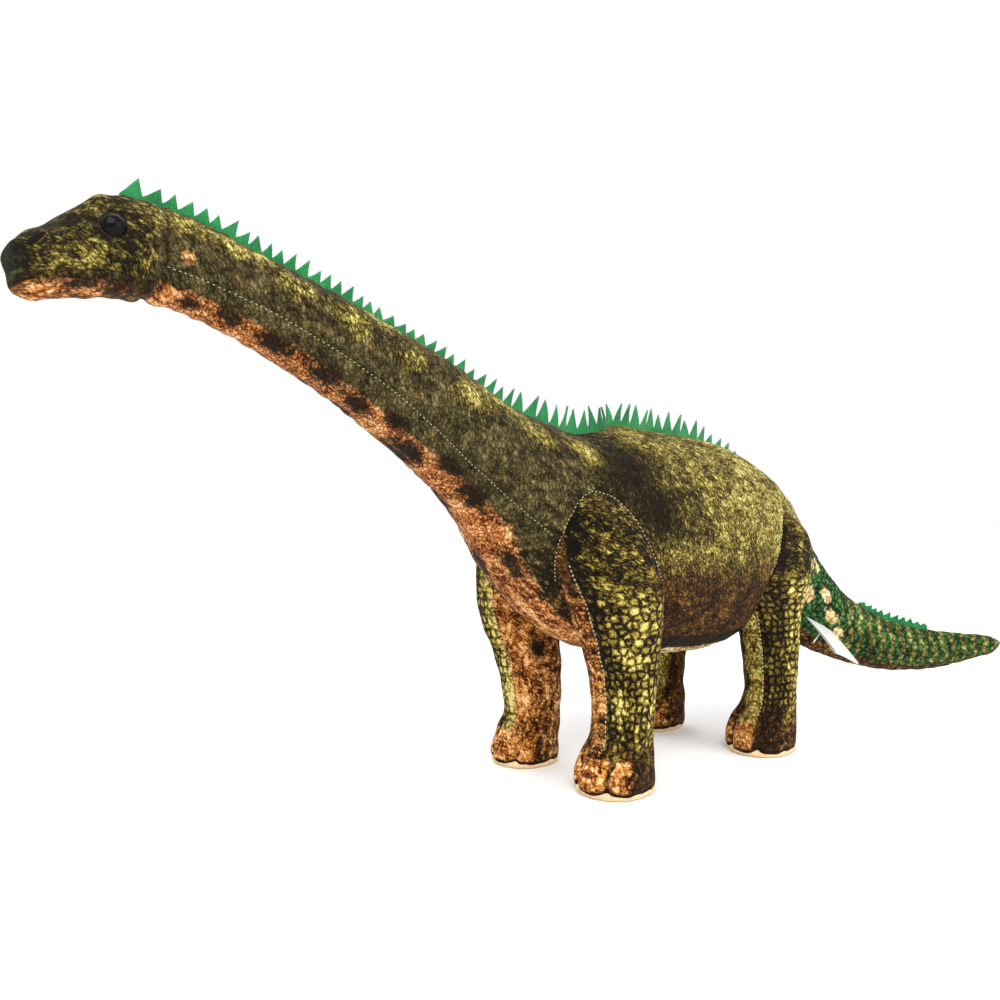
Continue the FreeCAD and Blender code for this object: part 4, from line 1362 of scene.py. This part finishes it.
@dataclass
class FeltSpines:
    """The row of felt teeth sewn into the seam along the back, from head to rump, and the short
    row on the tail."""

    form: TrunkForm
    finishes: Finishes
    thickness: float = 1.2
    base: float = 2.6        # mm of plain felt under each tooth's foot
    rooted: float = 3.0      # mm hidden in the seam
    cuts: tuple[float, ...] = (0.0, 0.18, 0.36, 0.52, 0.66, 0.76, 0.86, 0.94)

    def sizes_at(self, x: float) -> tuple[float, float]:
        """Gives a tooth's pitch and height at an x of the toy.

        Args:
            x: in the toy's mm.

        Returns:
            The pitch and the height, mm.
        """
        places = [-252, -225, -170, -130, -95, -60, -35, 0, 60, 110, 150, 180, 262, 290, 322]
        pitch = np.interp(x, places,
                          [6.2, 6.0, 6.2, 6.4, 7.0, 8.4, 9.2, 9.4, 8.8, 8.0, 7.6, 7.0, 5.6, 5.8,
                           5.4])
        height = np.interp(x, places,
                           [9.6, 9.4, 9.2, 7.0, 10.0, 14.5, 16.0, 15.5, 15.0, 14.0, 12.0, 7.0, 4.6,
                            6.4, 4.6])
        return float(pitch), float(height)

    def spread(self, cut: float, peak: float) -> float:
        """Moves an even cut so that one falls on the tooth's tip.

        Args:
            cut: 0 to 1 along the tooth's foot.
            peak: where the tip is, 0 to 1.

        Returns:
            The moved cut, 0 to 1.
        """
        middle = self.cuts[len(self.cuts) // 2]
        if cut <= middle:
            return cut / middle * peak
        return peak + (cut - middle) / (1 - middle) * (1 - peak)

    def build(self) -> None:
        """Cuts every tooth and sews the rows to their lengths of the trunk."""
        dice = random.Random(5)
        for first, last in ((-248.0, 177), (266, 320)):
            here, end = self.form.along_at(first), self.form.along_at(last)
            teeth: list[tuple[float, ...]] = []
            while here < end - 5:
                x = float(self.form.curves.at(here)[0, 0])
                pitch, height = self.sizes_at(x)
                crest = self.form.points(np.array([here, here + 2]), np.array([90.0, 90.0]))
                pitch *= dice.uniform(0.88,
                                      1.12) * float(np.clip(2 / np.linalg.norm(crest[1] - crest[0]),
                                                            0.85, 1.15))
                teeth.append((here, pitch, height * dice.uniform(0.86, 1.1),
                              dice.uniform(-2.0, 2.0), dice.uniform(-0.08, 0.1),
                              dice.uniform(0.5, 0.84)))
                here += pitch
            for stretch in STRETCHES:
                low, high = self.form.along_at(stretch.first), self.form.along_at(stretch.last)
                mine = [t for t in teeth if low <= t[0] + t[1] / 2 < high]
                if mine:
                    self.row(stretch, mine)

    def row(self, stretch: Stretch, teeth: Sequence[tuple[float, ...]]) -> None:
        """Makes one row of teeth.

        Args:
            stretch: the length of trunk it is sewn to.
            teeth: each tooth's start, pitch, height, sideways bend, lean and the place of its tip.
        """
        count, levels = len(self.cuts), 6
        bm = bmesh.new()
        bmesh.ops.create_grid(bm, x_segments=len(teeth) * count, y_segments=levels, size=0.5)
        for vert in bm.verts:
            column = int(round((vert.co.x + 0.5) * len(teeth) * count))
            share = vert.co.y + 0.5
            number = min(column // count, len(teeth) - 1)
            cut = 1.0 if column == len(teeth) * count else self.cuts[column % count]
            start, pitch, height, bend, lean, peak = teeth[number]
            cut = self.spread(cut, peak)
            rise = (cut / peak) ** 1.25 if cut <= peak else ((1 - cut) / (1 - peak)) ** 1.1
            tall = self.base + (height - self.base) * rise
            spot = np.array([start + cut * pitch])
            _, _, sideways, _ = self.form.frame_at(spot)
            root = self.form.points(spot, np.array([90.0]))[0]
            forward = unit(self.form.points(spot + 3, np.array([90.0]))
                           - self.form.points(spot - 3, np.array([90.0])))
            upward = np.cross(forward, sideways)
            level = -self.rooted + (tall + self.rooted) * share
            over = max(level, 0.0)
            side = bend * math.sin(math.pi * cut) * (over
                                                     / 12) ** 2 + 0.5 * math.sin(start * 0.13 + cut)
            point = root + upward[0] * level + forward[0] * lean * over * rise + sideways[0] * side
            vert.co = Vector(place(point))
        bmesh.ops.recalc_face_normals(bm, faces=bm.faces)
        piece = new_object(f"{stretch.name}_spines", bm, self.finishes.felt)
        solid = piece.modifiers.new("felt", "SOLIDIFY")
        solid.thickness = self.thickness * MM
        solid.offset = 0.0
        stretch.attach(piece)
        node = {"head": "head_spine_strip", "neck": "neck_spine_strip", "torso": "back_spine_strip",
                "tail": "tail_spine_strip"}
        if stretch.name in node:
            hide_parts(node[stretch.name])
        LOG.info("%s: %d teeth", piece.name, len(teeth))


# ---------------------------------------------------------------- face and label

@dataclass
class Face:
    """Two bead eyes with brown rims, and two black nostril patches."""

    finishes: Finishes
    eye: tuple[float, float, float] = (-259.0, -20.9, 261.7)
    eye_out: tuple[float, float, float] = (-0.12, -0.95, 0.28)
    nostril: tuple[float, float, float] = (-284.6, -14.0, 252.8)
    nostril_out: tuple[float, float, float] = (-0.35, -0.80, 0.45)
    nostril_along: tuple[float, float, float] = (0.72, -0.20, 0.62)

    def build(self, head: bpy.types.Object) -> None:
        """Makes the eyes and nostrils on both sides, seated on the head's cloth."""
        tree = BVHTree.FromObject(head, bpy.context.evaluated_depsgraph_get())
        for side, hand in ((1, "left"), (-1, "right")):
            flip = np.array([1, side, 1])
            spot, out = np.array(self.eye) * flip, unit(np.array(self.eye_out) * flip)
            hit, _, _, _ = tree.ray_cast(Vector(place(spot + out * 12)), Vector(-out), 0.03)
            seat = np.array(hit) / MM - SHIFT if hit is not None else spot
            dome = self.spun([(0.0, 3.6), (1.3, 3.45), (2.5, 3.0), (3.7, 2.2), (4.6, 1.1),
                              (4.95, 0.0), (4.8, -1.6), (0.0, -1.6)])
            rim = self.spun([(4.6, 0.1), (4.85, 0.5), (5.3, 0.5), (5.65, 0.1), (5.7, -0.9),
                             (4.6, -1.2)], closed=True)
            for name, bm, finish in ((f"bead_eye_{hand}", dome, self.finishes.eye),
                                     (f"eye_rim_{hand}", rim, self.finishes.rim)):
                self.seat(bm, seat + out * 0.2, out, (0, 0, 1))
                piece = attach(new_object(name, bm, finish), "head")
                if name.startswith("bead"):
                    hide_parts(f"eye_{hand}")
            spot, out = np.array(self.nostril) * flip, unit(np.array(self.nostril_out) * flip)
            hit, normal, _, _ = tree.ray_cast(Vector(place(spot + out * 12)), Vector(-out), 0.03)
            seat = np.array(hit) / MM - SHIFT if hit is not None else spot
            bm = bmesh.new()
            bmesh.ops.create_uvsphere(bm, u_segments=24, v_segments=12, radius=1.0)
            bmesh.ops.scale(bm, verts=bm.verts, vec=(4.5, 1.6, 0.7))
            self.seat(bm, seat, np.array(normal) if normal is not None else out,
                      self.nostril_along * flip)
            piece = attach(new_object(f"nostril_patch_{hand}", bm, self.finishes.nostril), "head")
            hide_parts(f"nostril_{hand}")
            LOG.info("eye and nostril, %s", hand)

    def spun(self, profile: Sequence[tuple[float, float]],
             closed: bool = False) -> bmesh.types.BMesh:
        """Turns a profile of radius and height, in mm, about the axis.

        Args:
            profile: the points.
            closed: whether the profile is a loop off the axis.

        Returns:
            The turned shape.
        """
        bm = bmesh.new()
        verts = [bm.verts.new((r, 0, h)) for r, h in profile]
        pairs = list(zip(verts[:-1], verts[1:])) + ([(verts[-1], verts[0])] if closed else [])
        edges = [bm.edges.new(pair) for pair in pairs]
        bmesh.ops.spin(bm, geom=verts + edges, cent=(0, 0, 0), axis=(0, 0, 1), angle=2 * math.pi,
                       steps=48, use_merge=True)
        bmesh.ops.remove_doubles(bm, verts=bm.verts, dist=0.001)
        bmesh.ops.recalc_face_normals(bm, faces=bm.faces)
        return bm

    @staticmethod
    def seat(bm: bmesh.types.BMesh, spot: np.ndarray, out: np.ndarray,
             along: Sequence[float]) -> None:
        """Moves a shape made in mm about the origin to its seat, its z along out.

        Args:
            bm: the shape.
            spot: its seat, in the toy's mm.
            out: the way its z goes.
            along: the way its x goes.
        """
        z = unit(np.array(out, float))
        x = unit(np.array(along, float) - np.dot(along, z) * z)
        turn = Matrix(np.stack([x, np.cross(z, x), z], axis=1)).to_4x4()
        seated = Matrix.Translation(Vector(place(spot))) @ turn @ Matrix.Scale(MM, 4)
        bmesh.ops.transform(bm, matrix=seated, verts=bm.verts)


@dataclass
class Label:
    """The blank white satin label sewn in at the tail's root: a 30 by 72 mm tape folded once,
    its fold free."""

    finishes: Finishes
    root: tuple[float, float, float] = (217.4, -32.4, 73.6)
    down: tuple[float, float, float] = (-0.26, -0.764, -0.59)
    face: tuple[float, float, float] = (0.25, -0.64, 0.73)
    width: float = 30.0
    drop: float = 36.0     # mm, half the tape
    gap: float = 1.3       # mm between the two layers at the fold

    def build(self) -> None:
        """Makes the tape with a soft curl."""
        down = unit(np.array(self.down))
        across = unit(np.cross(np.array(self.face), down))
        face = np.cross(down, across)
        bm = bmesh.new()
        bmesh.ops.create_grid(bm, x_segments=16, y_segments=60, size=0.5)
        for vert in bm.verts:
            wide, run = vert.co.x * self.width, (vert.co.y + 0.5) * 2 * self.drop
            low = self.drop - abs(run - self.drop)
            turn = math.tanh((self.drop - run) / 1.2)
            curl = 0.8 * math.sin(low / self.drop
                                  * 2.6) - 0.5 * (wide / self.width * 2) ** 2 * low / self.drop
            lift = curl + 0.5 * self.gap * turn * (0.25 + 0.75 * low / self.drop)
            vert.co = Vector(place(np.array(self.root) + down * low + across * wide + face * lift))
        bmesh.ops.recalc_face_normals(bm, faces=bm.faces)
        piece = new_object("satin_care_label", bm, self.finishes.label)
        solid = piece.modifiers.new("satin", "SOLIDIFY")
        solid.thickness, solid.offset = 0.25 * MM, 0.0
        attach(piece, "tail")
        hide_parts("care_label")
        LOG.info("%s", piece.name)


# ---------------------------------------------------------------- setting

@dataclass
class Studio:
    """A pale floor, soft light and the camera."""

    eye: tuple[float, float, float] = (-364.3, -370.3, 154.0)
    look: tuple[float, float, float] = (0.6455, 0.7638, 0.0)
    lens: float = 32.04
    lift: float = 0.01

    def build(self) -> None:
        """Makes the setting."""
        self.floor()
        self.light("key", (-0.75, -0.75, 1.25), 1.1, 17.0)
        self.light("fill", (0.45, -1.3, 0.8), 1.3, 9.0)
        self.light("back", (0.5, 1.2, 1.1), 1.2, 8.0)
        world = bpy.data.worlds.new("soft_white")
        world.use_nodes = True
        world.node_tree.nodes["Background"].inputs[0].default_value = (1, 1, 1, 1)
        world.node_tree.nodes["Background"].inputs[1].default_value = 1.0
        bpy.context.scene.world = world
        bpy.context.scene.view_settings.view_transform = "Standard"
        data = bpy.data.cameras.new("camera")
        data.lens, data.sensor_width = self.lens, 36.0
        data.shift_y = self.lift
        data.clip_start, data.clip_end = 0.02, 50
        camera = bpy.data.objects.new("camera", data)
        camera.location = Vector(place(self.eye))
        camera.rotation_mode = "QUATERNION"
        camera.rotation_quaternion = Vector(self.look).to_track_quat("-Z", "Y")
        bpy.context.scene.collection.objects.link(camera)
        bpy.context.scene.camera = camera

    def floor(self) -> None:
        """Lays a plain pale floor."""
        material, tree, output = new_material("pale_floor")
        paint = add_node(tree, "ShaderNodeBsdfPrincipled",
                         {"Base Color": (0.995, 0.995, 0.995, 1.0), "Roughness": 0.95,
                          "Specular IOR Level": 0.0})
        tree.links.new(paint.outputs[0], output.inputs[0])
        bm = bmesh.new()
        bmesh.ops.create_grid(bm, x_segments=2, y_segments=2, size=20.0)
        new_object("floor", bm, material, smooth=False)

    @staticmethod
    def light(name: str, spot: tuple[float, float, float], size: float, power: float) -> None:
        """Hangs one soft square light aimed at the toy.

        Args:
            name: its name.
            spot: where, in metres.
            size: its side, metres.
            power: watts.
        """
        data = bpy.data.lights.new(name, "AREA")
        data.size, data.energy = size, power
        lamp = bpy.data.objects.new(name, data)
        lamp.location = spot
        lamp.rotation_mode = "QUATERNION"
        lamp.rotation_quaternion = (Vector((0, 0, 0.12)) - Vector(spot)).to_track_quat("-Z", "Y")
        bpy.context.scene.collection.objects.link(lamp)


def dress_cad(finishes: Finishes) -> None:
    """Gives the CAD pieces that stay as they are their finishes."""
    for node, finish in (("eye_washer_left", finishes.washer),
                         ("eye_washer_right", finishes.washer),
                         ("tag_filament", finishes.filament)):
        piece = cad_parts[node]
        piece.data.materials.clear()
        piece.data.materials.append(finish)


def main() -> None:
    """Builds the toy in order."""
    logging.basicConfig(level=logging.INFO, format="%(name)s %(message)s")
    finishes = Finishes()
    trunk = TrunkCloth(finishes)
    trunk.build()
    plan = (("front", "left", FRONT), ("front", "right", FRONT_RIGHT), ("rear", "left", REAR),
            ("rear", "right", REAR_RIGHT))
    legs = [Leg(where, hand, sizes, finishes) for where, hand, sizes in plan]
    for leg in legs:
        cloth = leg.build()
        leg.stitch((trunk.whole, cloth))
    trunk.stitch()
    Face(finishes).build(trunk.whole)
    trunk.divide()
    bpy.data.objects.remove(trunk.whole)
    FeltSpines(trunk.form, finishes).build()
    Label(finishes).build()
    dress_cad(finishes)
    Studio().build()
    bpy.context.view_layer.update()


if __name__ == "__main__":
    main()
